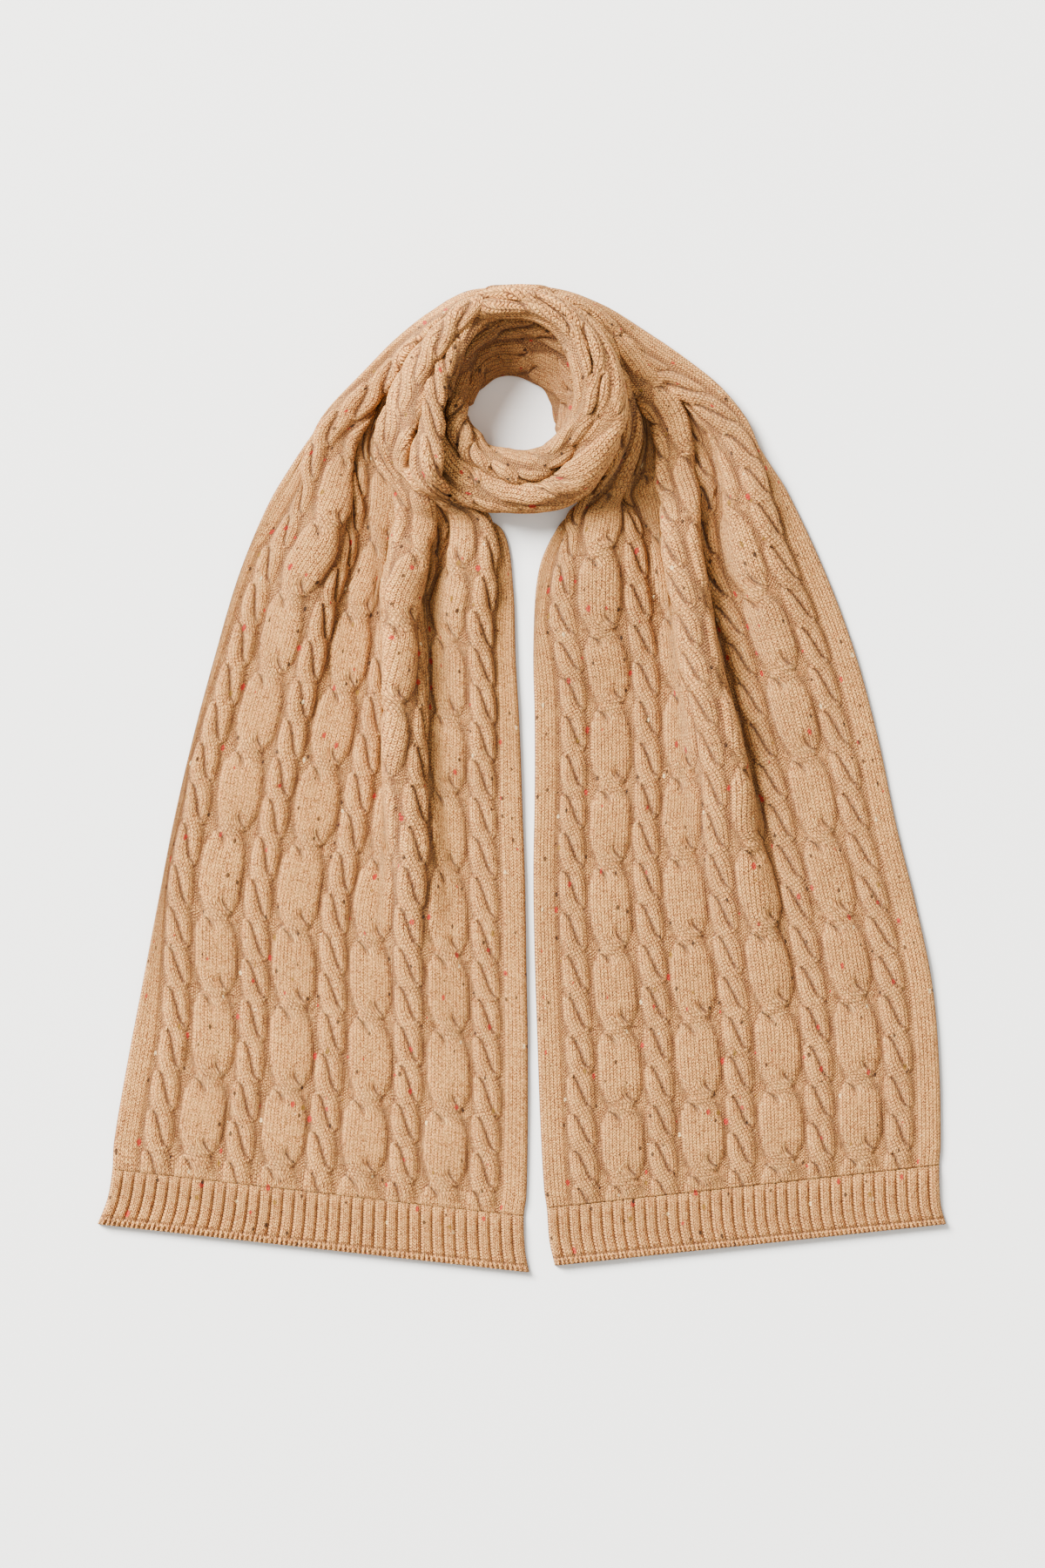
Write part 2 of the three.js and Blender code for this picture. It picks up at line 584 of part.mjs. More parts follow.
// A section of the first pass: the wall with its two rolls up to the brim, then over and down outside.
function backSection(turn) {
  const { inner, brim, outer, top } = backTable(turn);
  const loop = [];
  const along = THREE.MathUtils.degToRad(turn) * RING_RADIUS;
  for (let i = 0; i < WALL_POINTS; i++) {
    const t = i / (WALL_POINTS - 1);
    const roll = Math.sin(2 * Math.PI * t) ** 2;
    const bulge = RELIEF * roll * (0.5 + 0.5 * crossing(along + 2 * CABLE_SHIFT * t, ROPE_PERIOD));
    const sag = 1 - WALL_SAG * Math.sin(Math.PI * t);
    const height = top * THREE.MathUtils.lerp(WALL_FOOT, 1, t) * sag;
    loop.push([THREE.MathUtils.lerp(inner, brim, t) - bulge * WALL_BULGE, height]);
  }
  const shoulder = Math.min(SHOULDER, (outer - brim) / 3);
  loop.push([outer - shoulder, top]);
  loop.push([outer - shoulder / 4, top - shoulder]);
  loop.push([outer, top / 2]);
  loop.push([outer - shoulder / 4, FOOT_HEIGHT]);
  loop.push([outer - shoulder, 0]);
  loop.push([inner + FOOT_INSET, 0]);
  return loop;
}

const scarf = new THREE.Group();

function addStretch(name, geometry) {
  const material = new THREE.MeshStandardMaterial({ color: COLOUR, roughness: 0.95, metalness: 0 });
  const mesh = new THREE.Mesh(geometry, material);
  mesh.name = name;
  scarf.add(mesh);
}

addStretch("right_rib", ribGeometry(rightTail, RIB_TOP - RIB_LENGTH, RIB_TOP - SEAM));
addStretch("right_tail", tailGeometry(rightTail, RIB_TOP, RIGHT_EDGES.at(-1).along));
addStretch("loop_back", ringGeometry(backSection, BACK_FROM, BACK_TO));
addStretch("loop_front", ringGeometry(frontSection, FRONT_FROM, FRONT_TO));
addStretch("left_tail", tailGeometry(leftTail, RIB_TOP, LEFT_EDGES.at(-1).along));
addStretch("left_rib", ribGeometry(leftTail, RIB_TOP - RIB_LENGTH, RIB_TOP - SEAM));

export default scarf;
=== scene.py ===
import math

import bpy
import numpy as np
from bpy.props import FloatProperty, FloatVectorProperty, PointerProperty
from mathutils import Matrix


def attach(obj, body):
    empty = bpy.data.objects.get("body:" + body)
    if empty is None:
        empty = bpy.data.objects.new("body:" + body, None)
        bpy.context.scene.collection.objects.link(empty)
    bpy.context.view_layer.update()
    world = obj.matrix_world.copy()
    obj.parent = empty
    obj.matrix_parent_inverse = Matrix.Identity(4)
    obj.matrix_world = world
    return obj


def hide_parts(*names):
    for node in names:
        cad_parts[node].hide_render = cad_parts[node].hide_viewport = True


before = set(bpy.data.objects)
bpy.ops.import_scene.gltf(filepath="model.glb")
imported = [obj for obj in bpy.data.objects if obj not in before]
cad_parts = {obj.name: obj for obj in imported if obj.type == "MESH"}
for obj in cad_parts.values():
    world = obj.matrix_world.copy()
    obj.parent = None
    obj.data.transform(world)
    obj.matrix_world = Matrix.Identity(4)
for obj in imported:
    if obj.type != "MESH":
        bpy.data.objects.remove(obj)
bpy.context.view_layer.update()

bl_info = {
    "name": "Cable-knit scarf",
    "version": (1, 0, 0),
    "blender": (4, 5, 0),
    "location": "View3D > Sidebar > Scarf",
    "description": "Knits a wound cable scarf round its packed solids",
    "category": "Add Mesh",
}

MM = 0.001

# Cable layout across the strip, in millimetres
WIDTHS = {"border": 17.0, "rope": 21.0, "oval": 31.0}
STITCHES = {"border": 6, "rope": 8, "oval": 12}
LAYOUT = "border rope oval rope oval rope oval rope oval rope border".split()
GROOVE = 3.5
STRIP = 298.0
PERIODS = {"rope": 30.0, "oval": 60.0}
COURSE = 2.35  # height of a stitch
WALE = 2.6  # width of a stitch
RIB_TOP = -15.0
RIB_LENGTH = 47.0
RIBS = 36
BEAD = 3.4  # width of a stitch of the cast-on edge
SEAM = 0.3
FULLER = 0.65  # how far a cable bulges over the purl either side of it
FAR = 5.0  # distance from a crease beyond which it makes no difference

RING_CENTRE = (-4.0, 272.0)
RING_RADIUS = 60.0
RING_START = 470.0
FULLEST = 1.25
LEAST_RUN = 0.08
FOLD_SAMPLES = 149


def columns(names, *rows):
    """A table with named columns."""
    return dict(zip(names.split(), np.array(rows, float).T))


# Tails: plan of each row across the strip, by its distance along the strip from the first crossing
LEFT_EDGES = columns(
    "along outer_x outer_y inner_x inner_y lift",
    (-62, -316, -330, 6, -366, 1),
    (-45, -309, -312, 3, -350, 1),
    (-15, -305, -289, 2, -324, 1),
    (0, -304, -270, 4, -309, 1),
    (60, -294, -211, 5, -253, 1),
    (120, -282, -148, 5, -195, 1),
    (180, -271, -90, 4, -138, 1),
    (240, -259, -28, 3, -77, 1),
    (300, -245, 32, 1, -18, 1),
    (360, -229, 92, -1, 38, 0.95),
    (420, -211, 153, -4, 92, 0.85),
    (480, -189, 206, -6, 146, 0.7),
    (520, -170, 238, -13, 186, 0.5),
    (545, -155, 260, -34, 200, 0.42),
    (558, -147, 270, -51, 209, 0.4),
    (572, -137, 281, -60, 222, 0.36),
    (600, -118, 300, -61, 248, 0.3),
    (640, -92, 326, -59, 282, 0.22),
    (680, -66, 346, -47, 312, 0.14),
    (715, -40, 361, -31, 338, 0.08),
    (740, -20, 364, -15, 345, 0.05),
)
RIGHT_EDGES = columns(
    "along outer_x outer_y inner_x inner_y lift",
    (-62, 25, -361, 317, -330, 1),
    (-45, 21, -343, 313, -315, 1),
    (-15, 19, -318, 312, -286, 1),
    (0, 17, -304, 313, -271, 1),
    (60, 14, -250, 312, -213, 1),
    (120, 12, -192, 307, -153, 1),
    (180, 10, -131, 295, -94, 1),
    (240, 9, -69, 280, -33, 1),
    (300, 10, -12, 267, 29, 1),
    (360, 10, 46, 250, 93, 0.95),
    (420, 9, 101, 228, 153, 0.85),
    (480, 13, 157, 198, 217, 0.7),
    (520, 27, 189, 177, 248, 0.5),
    (545, 45, 209, 163, 272, 0.42),
    (570, 62, 238, 145, 293, 0.36),
    (600, 66, 272, 121, 312, 0.3),
    (640, 62, 306, 94, 331, 0.24),
    (680, 50, 339, 64, 350, 0.14),
    (710, 28, 355, 32, 362, 0.08),
    (740, 2, 360.5, 3, 364.5, 0.03),
    (760, -18, 360, -20, 363.5, 0.02),
    (775, -31, 356.5, -33, 360.5, 0.02),
)

# Folds: crest across the strip, reach of its two sides, height at full gathering, and at the ring
# how much cloth either side of the crest still shows and how far that roll stands up
FOLD_COLUMNS = "along at left right height shows roll"
LEFT_FOLDS = [
    columns(
        FOLD_COLUMNS,
        (60, 214, 26, 30, 0, 40, 0),
        (180, 210, 28, 34, 5, 40, 0),
        (240, 205, 30, 38, 14, 40, 0),
        (330, 188, 30, 46, 21, 36, 0),
        (420, 173, 30, 50, 26, 32, 8),
        (500, 163, 38, 48, 28, 24, 10),
        (560, 158, 44, 50, 28, 17, 11),
        (640, 151, 50, 50, 28, 12, 10),
        (720, 149, 50, 50, 30, 10, 8),
    ),
    columns(
        FOLD_COLUMNS,
        (240, 92, 40, 30, 0, 60, 0),
        (360, 84, 44, 34, 5, 60, 0),
        (430, 70, 50, 36, 14, 50, 3),
        (520, 48, 50, 46, 26, 30, 8),
        (580, 30, 44, 46, 28, 15, 9),
        (640, 20, 30, 46, 28, 8, 7),
        (720, 12, 30, 48, 30, 3, 4),
    ),
    columns(
        FOLD_COLUMNS,
        (300, 262, 30, 30, 0, 50, 0),
        (420, 258, 34, 34, 9, 40, 4),
        (520, 252, 42, 42, 24, 24, 9),
        (580, 262, 42, 36, 26, 15, 10),
        (640, 270, 48, 28, 28, 8, 8),
        (720, 280, 48, 24, 30, 3, 5),
    ),
]
RIGHT_FOLDS = [
    columns(
        FOLD_COLUMNS,
        (60, 172, 40, 26, 0, 40, 0),
        (180, 172, 44, 28, 6, 40, 0),
        (260, 166, 48, 30, 14, 38, 0),
        (360, 160, 50, 32, 26, 34, 0),
        (430, 158, 46, 36, 28, 26, 8),
        (500, 162, 42, 42, 28, 19, 10),
        (560, 165, 42, 42, 28, 13, 10),
        (640, 168, 42, 42, 28, 7, 6),
        (760, 170, 50, 50, 30, 1, 1),
    ),
    columns(
        FOLD_COLUMNS,
        (300, 244, 30, 30, 0, 50, 0),
        (420, 250, 34, 40, 10, 44, 3),
        (520, 262, 42, 46, 26, 27, 8),
        (560, 270, 42, 46, 28, 20, 8),
        (640, 280, 42, 46, 28, 12, 6),
        (760, 286, 48, 48, 30, 2, 1),
    ),
    columns(
        FOLD_COLUMNS,
        (380, 64, 50, 50, 0, 60, 0),
        (450, 64, 56, 56, 12, 44, 4),
        (520, 52, 54, 56, 28, 22, 9),
        (560, 40, 54, 56, 28, 13, 9),
        (640, 30, 54, 56, 28, 6, 5),
        (760, 20, 48, 48, 30, 1, 1),
    ),
]

# Ring: sections of the front stretch and of the first pass, by the angle round the ring
FRONT_FROM, FRONT_TO = 162.0, 476.0
BACK_FROM, BACK_TO = -23.0, 171.0
TUCK = 9.0  # angle over which each end of a stretch narrows, to go under the next one
FRONT_SECTIONS = columns(
    "turn inner crease outer base inner_top outer_top seam",
    (160, 38, 52, 72, 0, 36, 33, 0.5),
    (190, 35.5, 54, 72, 0, 41, 37, 0.4),
    (210, 31, 52, 73, 0, 43, 38, 0.3),
    (228, 32, 49, 76, 0, 45, 38, 0.25),
    (250, 28.5, 48, 73, 0, 47, 40, 0.2),
    (270, 29, 51, 70.5, 0, 48, 42, 0.2),
    (290, 31, 51.5, 73, 3, 51, 46, 0.22),
    (312, 33, 50, 76.5, 15, 55, 52, 0.3),
    (335, 36, 50, 75.5, 24, 60, 58, 0.5),
    (360, 43, 58, 79, 27, 64, 61, 0.8),
    (385, 50, 65, 81.5, 28.5, 66, 64, 1),
    (405, 57, 72, 85, 32, 66, 65, 1.05),
    (425, 67, 80, 89, 38, 66, 64, 1.1),
    (450, 72, 82, 91, 43, 65, 62, 1.1),
    (480, 73, 83, 90, 43, 61, 58, 1.1),
)
BACK_SECTIONS = columns(
    "turn inner brim outer top",
    (-24, 34, 38, 55, 21),
    (0, 29, 44, 59, 23),
    (25, 28, 50, 61, 25),
    (45, 29, 57, 66, 30),
    (65, 28, 67, 76.5, 37),
    (90, 30, 72, 84, 42),
    (115, 32, 72, 84, 42),
    (135, 32, 65, 79, 41),
    (150, 34, 58, 74, 38),
    (172, 36.5, 49, 72, 36),
)

# How high each tail lies where it meets the ring, and how far out it comes down to the surface
LEFT_DRAPE = columns(
    "turn height edge reach",
    (90, 43, 87, 14),
    (120, 43, 82, 18),
    (150, 40, 71, 34),
    (180, 41.5, 69, 34),
    (205, 44, 70, 32),
    (214, 42, 72, 32),
    (222, 31, 76, 30),
    (232, 12, 76, 26),
    (242, 2, 76, 22),
    (252, 0, 76, 18),
)
RIGHT_DRAPE = columns(
    "turn height edge reach",
    (-70, 0, 64, 24),
    (-48, 0, 64, 24),
    (-25, 9, 66, 30),
    (0, 11, 72, 34),
    (30, 14, 80, 30),
    (60, 24, 88, 16),
    (75, 28, 90, 9),
    (105, 30, 91, 6),
)
LEFT_PADDING = columns("along depth", (560, 0), (620, 4), (670, 9), (700, 11), (715, 8), (735, -6))
RIGHT_PADDING = columns("along depth", (560, 0), (740, 2))
LEFT_END, RIGHT_END = 735.0, 775.0  # how far along each tail goes on under the ring

# Rows and columns of the meshes
TAIL_GRID = (440, 196)
HEM_GRID = (46, RIBS * 12 + 1)
FRONT_GRID = (330, 132)
BACK_GRID = (150, 120)

# Stage, in metres
KEY_PLACE, KEY_SIZE = (-7.0, 5.8, 8.0), 6.0
FILL_PLACE, FILL_SIZE = (2.6, -1.0, 2.6), 2.5
FLOOR_SIZE = 14
VIEW_CENTRE = (0.001, -0.002)
VIEW_HEIGHT = 1.17  # how much of the floor the picture shows from its top to its bottom
FILM = 36  # height of the film, in millimetres


def smooth(value):
    t = np.clip(value, 0, 1)
    return t * t * (3 - 2 * t)


def bell(value):
    """1 where value is 0, falling smoothly to 0 at 1 and beyond."""
    return 1 - smooth(np.abs(value))


def read(table, key, at):
    """A table read at places along its key column, with a smooth curve through its rows."""
    keys = table[key]
    at = np.asarray(at, float)
    row = np.clip(np.searchsorted(keys, at) - 1, 0, len(keys) - 2)
    before = np.maximum(row - 1, 0)
    after = np.minimum(row + 2, len(keys) - 1)
    span = keys[row + 1] - keys[row]
    t = np.clip((at - keys[row]) / span, 0, 1)
    found = {}
    for name, values in table.items():
        start, end = values[row], values[row + 1]
        slope_in = (end - values[before]) / (keys[row + 1] - keys[before]) * span
        slope_out = (values[after] - start) / (keys[after] - keys[row]) * span
        found[name] = (
            (2 * t**3 - 3 * t**2 + 1) * start
            + (t**3 - 2 * t**2 + t) * slope_in
            + (3 * t**2 - 2 * t**3) * end
            + (t**3 - t**2) * slope_out
        )
    return found


def lumps(x, y, size, seed):
    """Soft unevenness between -1 and 1, with humps about as far apart as size."""
    grid = np.random.default_rng(seed).uniform(-1, 1, (64, 64))
    gx, gy = np.asarray(x) / size, np.asarray(y) / size
    ix, iy = np.floor(gx).astype(int), np.floor(gy).astype(int)
    tx, ty = smooth(gx - ix), smooth(gy - iy)

    def corner(dx, dy):
        return grid[(ix + dx) % 64, (iy + dy) % 64]

    low = corner(0, 0) * (1 - tx) + corner(1, 0) * tx
    high = corner(0, 1) * (1 - tx) + corner(1, 1) * tx
    return low * (1 - ty) + high * ty


def bands():
    start = 0.0
    for kind in LAYOUT:
        yield kind, start, WIDTHS[kind]
        start += WIDTHS[kind] + GROOVE


# Cables, by kind: how much they narrow at a crossing, over how much of a period on its long and on its
# short side, roundness of their sides, depth of the crease between two strands, how far it leans and how
# sharply it hooks at the crossings, and after how much of a period an oval's crease is gone
CABLES = {
    "rope": {
        "narrows": 0.24, "slow": 0.5, "quick": 0.2, "round": 4.0,
        "crease": 0.9, "lean": 0.5, "hook": 9,
    },
    "oval": {
        "narrows": 0.4, "slow": 0.5, "quick": 0.24, "round": 4.5,
        "crease": 0.8, "lean": 0.3, "hook": 9, "fades": 0.17,
    },
}


def cable(kind, phase, v, half):
    """Height of a cable that crosses at whole phases, how far right of its crease each place is, and how
    faint the crease is there."""
    form = CABLES[kind]
    past = phase - np.floor(phase)
    down = 1 - past

    def narrow(long_side, short_side):
        lack = np.clip(1 - long_side / form["slow"], 0, 1) ** 1.7
        return 1 - form["narrows"] * np.maximum(lack, np.clip(1 - short_side / form["quick"], 0, 1) ** 1.7)

    place = v / half / np.where(v < 0, narrow(past, down), narrow(down, past))
    body = np.sqrt(np.maximum(0, 1 - np.abs(place) ** form["round"]))
    bend = 2 * down - 1
    hook = (1.1 - form["lean"]) * (np.abs(bend) / 0.94) ** form["hook"]
    crease = 0.04 + np.sign(bend) * np.minimum(1.1, form["lean"] * np.abs(bend) + hook)
    left = place < crease
    near, far = np.where(left, -1.0, crease), np.where(left, crease, 1.0)
    across = (place - (near + far) / 2) / np.maximum((far - near) / 2, 0.12)
    hump = np.maximum(0, 1 - np.abs(across) ** 2.2)
    crest = np.where(left, 0.55 + 0.45 * smooth(down / 0.6), 0.55 + 0.45 * smooth(past / 0.6))
    beside = np.clip((place - crease) * half, -FAR, FAR)
    ends = np.minimum(past, down)
    faint = FAR * np.clip(1.1 - ends * PERIODS[kind] / 1.7, 0, 1)
    if kind == "oval":
        flat = smooth(ends / form["fades"] - 0.7)
        hump = hump + (1 - hump) * flat
        crest = crest + (0.94 - crest) * flat
        faint = np.maximum(faint, FAR * flat)
    return body * crest * (1 - form["crease"] * (1 - hump)), past, beside, faint


def knit_relief(u, along):
    """Height of the cables over the plain knit, stitch coordinates, purl, and the creases."""
    height = np.zeros(u.shape)
    crease = np.full(u.shape, FAR)
    faint = np.full(u.shape, FAR)
    wale = u / WALE
    course = along / COURSE
    for band, (kind, start, width) in enumerate(bands()):
        half = width / 2
        v = u - start - half
        if kind != "border":
            half = half + FULLER
        near = np.abs(v) < half + GROOVE
        count = STITCHES[kind]
        if kind == "border":
            t = np.clip(v / half, -1, 1)
            rise = 0.34 * np.sqrt(1 - t**6)
            take = near & (np.abs(v) < half)
            height = np.where(take, rise, height)
            wale = np.where(take, 100 * band + (v / width + 0.5) * count, wale)
            continue
        wobble = 0.6 * lumps(along, np.full(along.shape, 37.0 * band), 24, 11 + band)
        v = v - wobble
        phase = along / PERIODS[kind] + 0.02 * lumps(along, np.full(along.shape, 19.0 * band), 60, 31 + band)
        rise, past, beside, fading = cable(kind, phase, v, half)
        # the strand on the left has still to cross, the one on the right has crossed
        t = np.where(beside < 0, past, past - 1)
        turn = 0.5 if kind == "rope" else 0.2
        bent = np.clip(t / turn, -1, 1)
        place = -0.45 * half * np.sin(np.pi / 2 * bent)
        slant = -0.45 * half * np.pi / 2 * np.cos(np.pi / 2 * bent) / (turn * PERIODS[kind])
        slant = np.where(np.abs(t) < turn, slant, 0)
        take = near & (np.abs(v) < half)
        height = np.where(near, np.maximum(height, rise), height)
        found = 100 * band + ((v - place) / half + 1) * count / 2
        wale = np.where(take, found, wale)
        course = np.where(take, (along - (v - place) * slant) / COURSE, course)
        crease = np.where(take, beside, crease)
        faint = np.where(take, fading, faint)
    purl = 1 - smooth((height - 0.04) / 0.2)
    return height, wale, course, purl, crease, faint


def rib_relief(u, along):
    """Ribs along the strip with a narrow purl groove between them, and beads along the cast-on edge."""
    width = STRIP / RIBS
    place = u / width
    across = 2 * (place - np.floor(place)) - 1
    height = np.maximum(0, 1 - (np.abs(across) / 0.92) ** 2.4) ** 0.6 - 0.22 * bell(across / 0.3)
    height = height * (0.4 + 0.6 * smooth((RIB_TOP - along) / 9))
    purl = smooth((np.abs(across) - 0.6) / 0.2)
    from_edge = along - RIB_TOP + RIB_LENGTH
    height = height * (1 - 0.7 * bell((from_edge - 5.4) / 1.6))
    cast_on = 1 - smooth((from_edge - 3.4) / 1.4)
    bead = 0.85 + 0.4 * np.cos(2 * np.pi * u / BEAD)
    height = height + (bead - height) * cast_on
    purl = purl * (1 - cast_on)
    none = np.full(u.shape, FAR)
    return height, place * 3, along / COURSE, purl, none, none


def blurred(values, reach):
    """Box blur over both axes of a grid."""
    for axis in (0, 1):
        pad = [(0, 0), (0, 0)]
        pad[axis] = (reach + 1, reach)
        total = np.cumsum(np.pad(values, pad, mode="edge"), axis=axis)
        span = 2 * reach + 1
        if axis == 0:
            values = (total[span:] - total[:-span]) / span
        else:
            values = (total[:, span:] - total[:, :-span]) / span
    return values


def hollows(height):
    """How deep a place lies below the knit round it, from 0 to 1, which the wool darkens as painted shade.
    """
    wide = blurred(blurred(height, 2), 2) - height
    close = blurred(height, 1) - height
    return np.clip(wide * 2.2 + close * 4.0, 0, 1)


class Tail:
    """The middle surface of a tail, and where its folds put each part of the strip."""

    def __init__(self, edges, folds, drape, padding, lowest_turn, seed):
        self.edges = edges
        self.folds = folds
        self.drape = drape
        self.padding = padding
        self.lowest_turn = lowest_turn
        self.seed = seed

    def drop(self, x, y):
        """Height of what lies under the tail."""
        dx, dy = x - RING_CENTRE[0], y - RING_CENTRE[1]
        turn = np.degrees(np.arctan2(dy, dx))
        turn = np.where(turn < self.lowest_turn, turn + 360, turn)
        section = read(self.drape, "turn", turn)
        out = (np.hypot(dx, dy) - section["edge"]) / section["reach"]
        return np.maximum(0, section["height"]) * (1 - smooth(out))

    @staticmethod
    def folded(u, folds, gather):
        height = np.zeros(np.broadcast(u, gather).shape)
        slope = np.zeros(height.shape)
        for fold in folds:
            side = np.where(u < fold["at"], fold["left"], fold["right"])
            t = np.clip((u - fold["at"]) / side, -1, 1)
            crest = gather * np.maximum(0, fold["height"])
            height += crest * (1 + np.cos(np.pi * t)) / 2
            slope -= crest * np.pi / 2 * np.sin(np.pi * t) / side
        return height, np.sqrt(np.maximum(LEAST_RUN**2, 1 - slope**2))

    def surface(self, u, along):
        """Points of the middle surface for places u across each row, and how far the cloth is swallowed."""
        edge = read(self.edges, "along", along)
        start = np.stack([edge["outer_x"], edge["outer_y"]], -1)
        across = np.stack([edge["inner_x"], edge["inner_y"]], -1) - start
        width = np.linalg.norm(across, axis=-1, keepdims=True)
        across = across / width
        folds = []
        for fold in self.folds:
            found = read(fold, "along", along)
            folds.append({name: values[:, None] for name, values in found.items()})
        step = STRIP / FOLD_SAMPLES
        middles = ((np.arange(FOLD_SAMPLES) + 0.5) * step)[None, :]
        low = np.zeros((len(along), 1))
        high = np.full((len(along), 1), FULLEST)
        for _ in range(18):
            gather = (low + high) / 2
            wide = self.folded(middles, folds, gather)[1].sum(1, keepdims=True) * step > width
            low = np.where(wide, gather, low)
            high = np.where(wide, high, gather)
        spacing = (along[-1] - along[0]) / (len(along) - 1)
        low = blurred(low, int(25 / spacing) + 1)
        run = self.folded(middles, folds, low)[1]

        def hidden(places):
            out = np.ones(np.broadcast(places, low).shape)
            for fold in folds:
                shows = np.maximum(fold["shows"], 0)
                out = out * smooth((np.abs(places - fold["at"]) - shows) / (3 + 0.3 * shows))
            return out

        covered = hidden(middles)
        excess = run.sum(1, keepdims=True) * step - width
        swallowed = np.clip(excess / np.maximum((run * covered).sum(1, keepdims=True) * step, 1e-6), 0, 0.97)
        run = run * (1 - swallowed * covered)
        run = run * width / (run.sum(1, keepdims=True) * step)
        reached = np.concatenate([np.zeros((len(along), 1)), np.cumsum(run * step, 1)], 1)
        marks = np.arange(FOLD_SAMPLES + 1) * step
        reach = np.stack([np.interp(u, marks, row) for row in reached])
        fold_height = self.folded(u[None, :], folds, low)[0] * edge["lift"][:, None]
        rolls = np.zeros(fold_height.shape)
        for fold in folds:
            t = np.clip((u[None, :] - fold["at"]) / (1.25 * np.maximum(fold["shows"], 0.5) + 2), -1, 1)
            rolls = np.maximum(rolls, np.maximum(fold["roll"], 0) * (1 - np.abs(t) ** 2.4) ** 0.6)
        at_ring = smooth((along - 460) / 90)[:, None]
        z = fold_height * (1 - at_ring) + rolls * at_ring
        x = start[:, :1] + across[:, :1] * reach
        y = start[:, 1:] + across[:, 1:] * reach
        rough = 0.7 * lumps(x, y, 46, self.seed) + 0.45 * lumps(x, y, 19, self.seed + 1)
        depth = read(self.padding, "along", along)["depth"][:, None]
        rise = z + depth + np.maximum(0, 0.6 + rough) * smooth(along / 40 + 0.6)[:, None]
        return x, y, self.drop(x, y), rise, swallowed * hidden(u[None, :])


LEFT = Tail(LEFT_EDGES, LEFT_FOLDS, LEFT_DRAPE, LEFT_PADDING, 0, 21)
RIGHT = Tail(RIGHT_EDGES, RIGHT_FOLDS, RIGHT_DRAPE, RIGHT_PADDING, -180, 41)


def normals_of(points, closed=False):
    """Unit normals of a grid of points, pointing to the side that a turns to from rows to columns."""
    down = np.gradient(points, axis=0)
    if closed:
        over = (np.roll(points, -1, 1) - np.roll(points, 1, 1)) / 2
    else:
        over = np.gradient(points, axis=1)
    normal = np.cross(over, down)
    return normal / np.maximum(np.linalg.norm(normal, axis=-1, keepdims=True), 1e-9)


class Shell:
    """Points, faces and stitch coordinates of one piece, gathered before its mesh is made."""

    def __init__(self, run=1):
        self.run = run
        self.points = []
        self.faces = []
        self.stitches = []
        self.plan = []
        self.purl = []
        self.hollow_shade = []
        self.crease = []
        self.faint = []
        self.count = 0

    def grid(self, points, wale, course, plan_u, plan_v, purl, hollow_shade, crease, faint):
        """Adds a grid of points and gives their numbers back."""
        rows, cols = points.shape[:2]
        self.points.append(points.reshape(-1, 3))
        self.stitches.append(np.stack([wale, course], -1).reshape(-1, 2))
        self.plan.append(np.stack([plan_u, plan_v], -1).reshape(-1, 2))
        self.purl.append(purl.reshape(-1))
        self.hollow_shade.append(hollow_shade.reshape(-1))
        self.crease.append(crease.reshape(-1))
        self.faint.append(faint.reshape(-1))
        numbers = self.count + np.arange(rows * cols).reshape(rows, cols)
        self.count += rows * cols
        return numbers

    def plain(self, points):
        rows, cols = points.shape[:2]
        flat = np.zeros((rows, cols))
        x, y = points[..., 0], points[..., 1]
        return self.grid(points, x / WALE, y / COURSE, x, y, flat, flat, flat + FAR, flat + FAR)

    def quads(self, numbers, flip=False, wrap=False):
        if wrap:
            numbers = np.concatenate([numbers, numbers[:, :1]], 1)
        a, b = numbers[:-1, :-1], numbers[:-1, 1:]
        c, d = numbers[1:, 1:], numbers[1:, :-1]
        order = [a, d, c, b] if flip else [a, b, c, d]
        self.faces.extend(np.stack(order, -1).reshape(-1, 4).tolist())

    def zip(self, lower, upper):
        """Triangles between two rows of points that run the same way."""
        i = j = 0
        while i < len(lower) - 1 or j < len(upper) - 1:
            next_lower = (i + 1) / (len(lower) - 1)
            next_upper = (j + 1) / (len(upper) - 1)
            if j == len(upper) - 1 or (i < len(lower) - 1 and next_lower <= next_upper):
                self.faces.append([lower[i], lower[i + 1], upper[j]])
                i += 1
            else:
                self.faces.append([upper[j + 1], upper[j], lower[i]])
                j += 1

    def piece(self, name, material):
        mesh = bpy.data.meshes.new(name)
        points = np.concatenate(self.points) * MM
        mesh.from_pydata(points.tolist(), [], self.faces)
        corners = np.empty(len(mesh.loops), np.int32)
        mesh.loops.foreach_get("vertex_index", corners)
        starts = np.empty(len(mesh.polygons), np.int32)
        mesh.polygons.foreach_get("loop_start", starts)
        totals = np.diff(np.append(starts, len(corners)))
        first = np.repeat(starts, totals)
        plan = np.concatenate(self.plan)[corners]
        stitches = np.concatenate(self.stitches)[corners]
        moved = (plan - plan[first]) * (1 / WALE, self.run / COURSE)
        strange = np.abs(stitches - stitches[first] - moved).max(1) > 1.3
        stitches = np.where(strange[:, None], stitches[first] + moved, stitches)
        for layer, values in (("stitches", stitches), ("cloth", plan)):
            uv = mesh.uv_layers.new(name=layer)
            uv.data.foreach_set("uv", values.astype(np.float32).ravel())
        for layer in ("purl", "hollow_shade", "crease", "faint"):
            values = getattr(self, layer)
            attribute = mesh.attributes.new(layer, "FLOAT", "POINT")
            attribute.data.foreach_set("value", np.concatenate(values).astype(np.float32))
        mesh.shade_smooth()
        mesh.materials.append(material)
        piece = bpy.data.objects.new(name, mesh)
        bpy.context.scene.collection.objects.link(piece)
        return piece


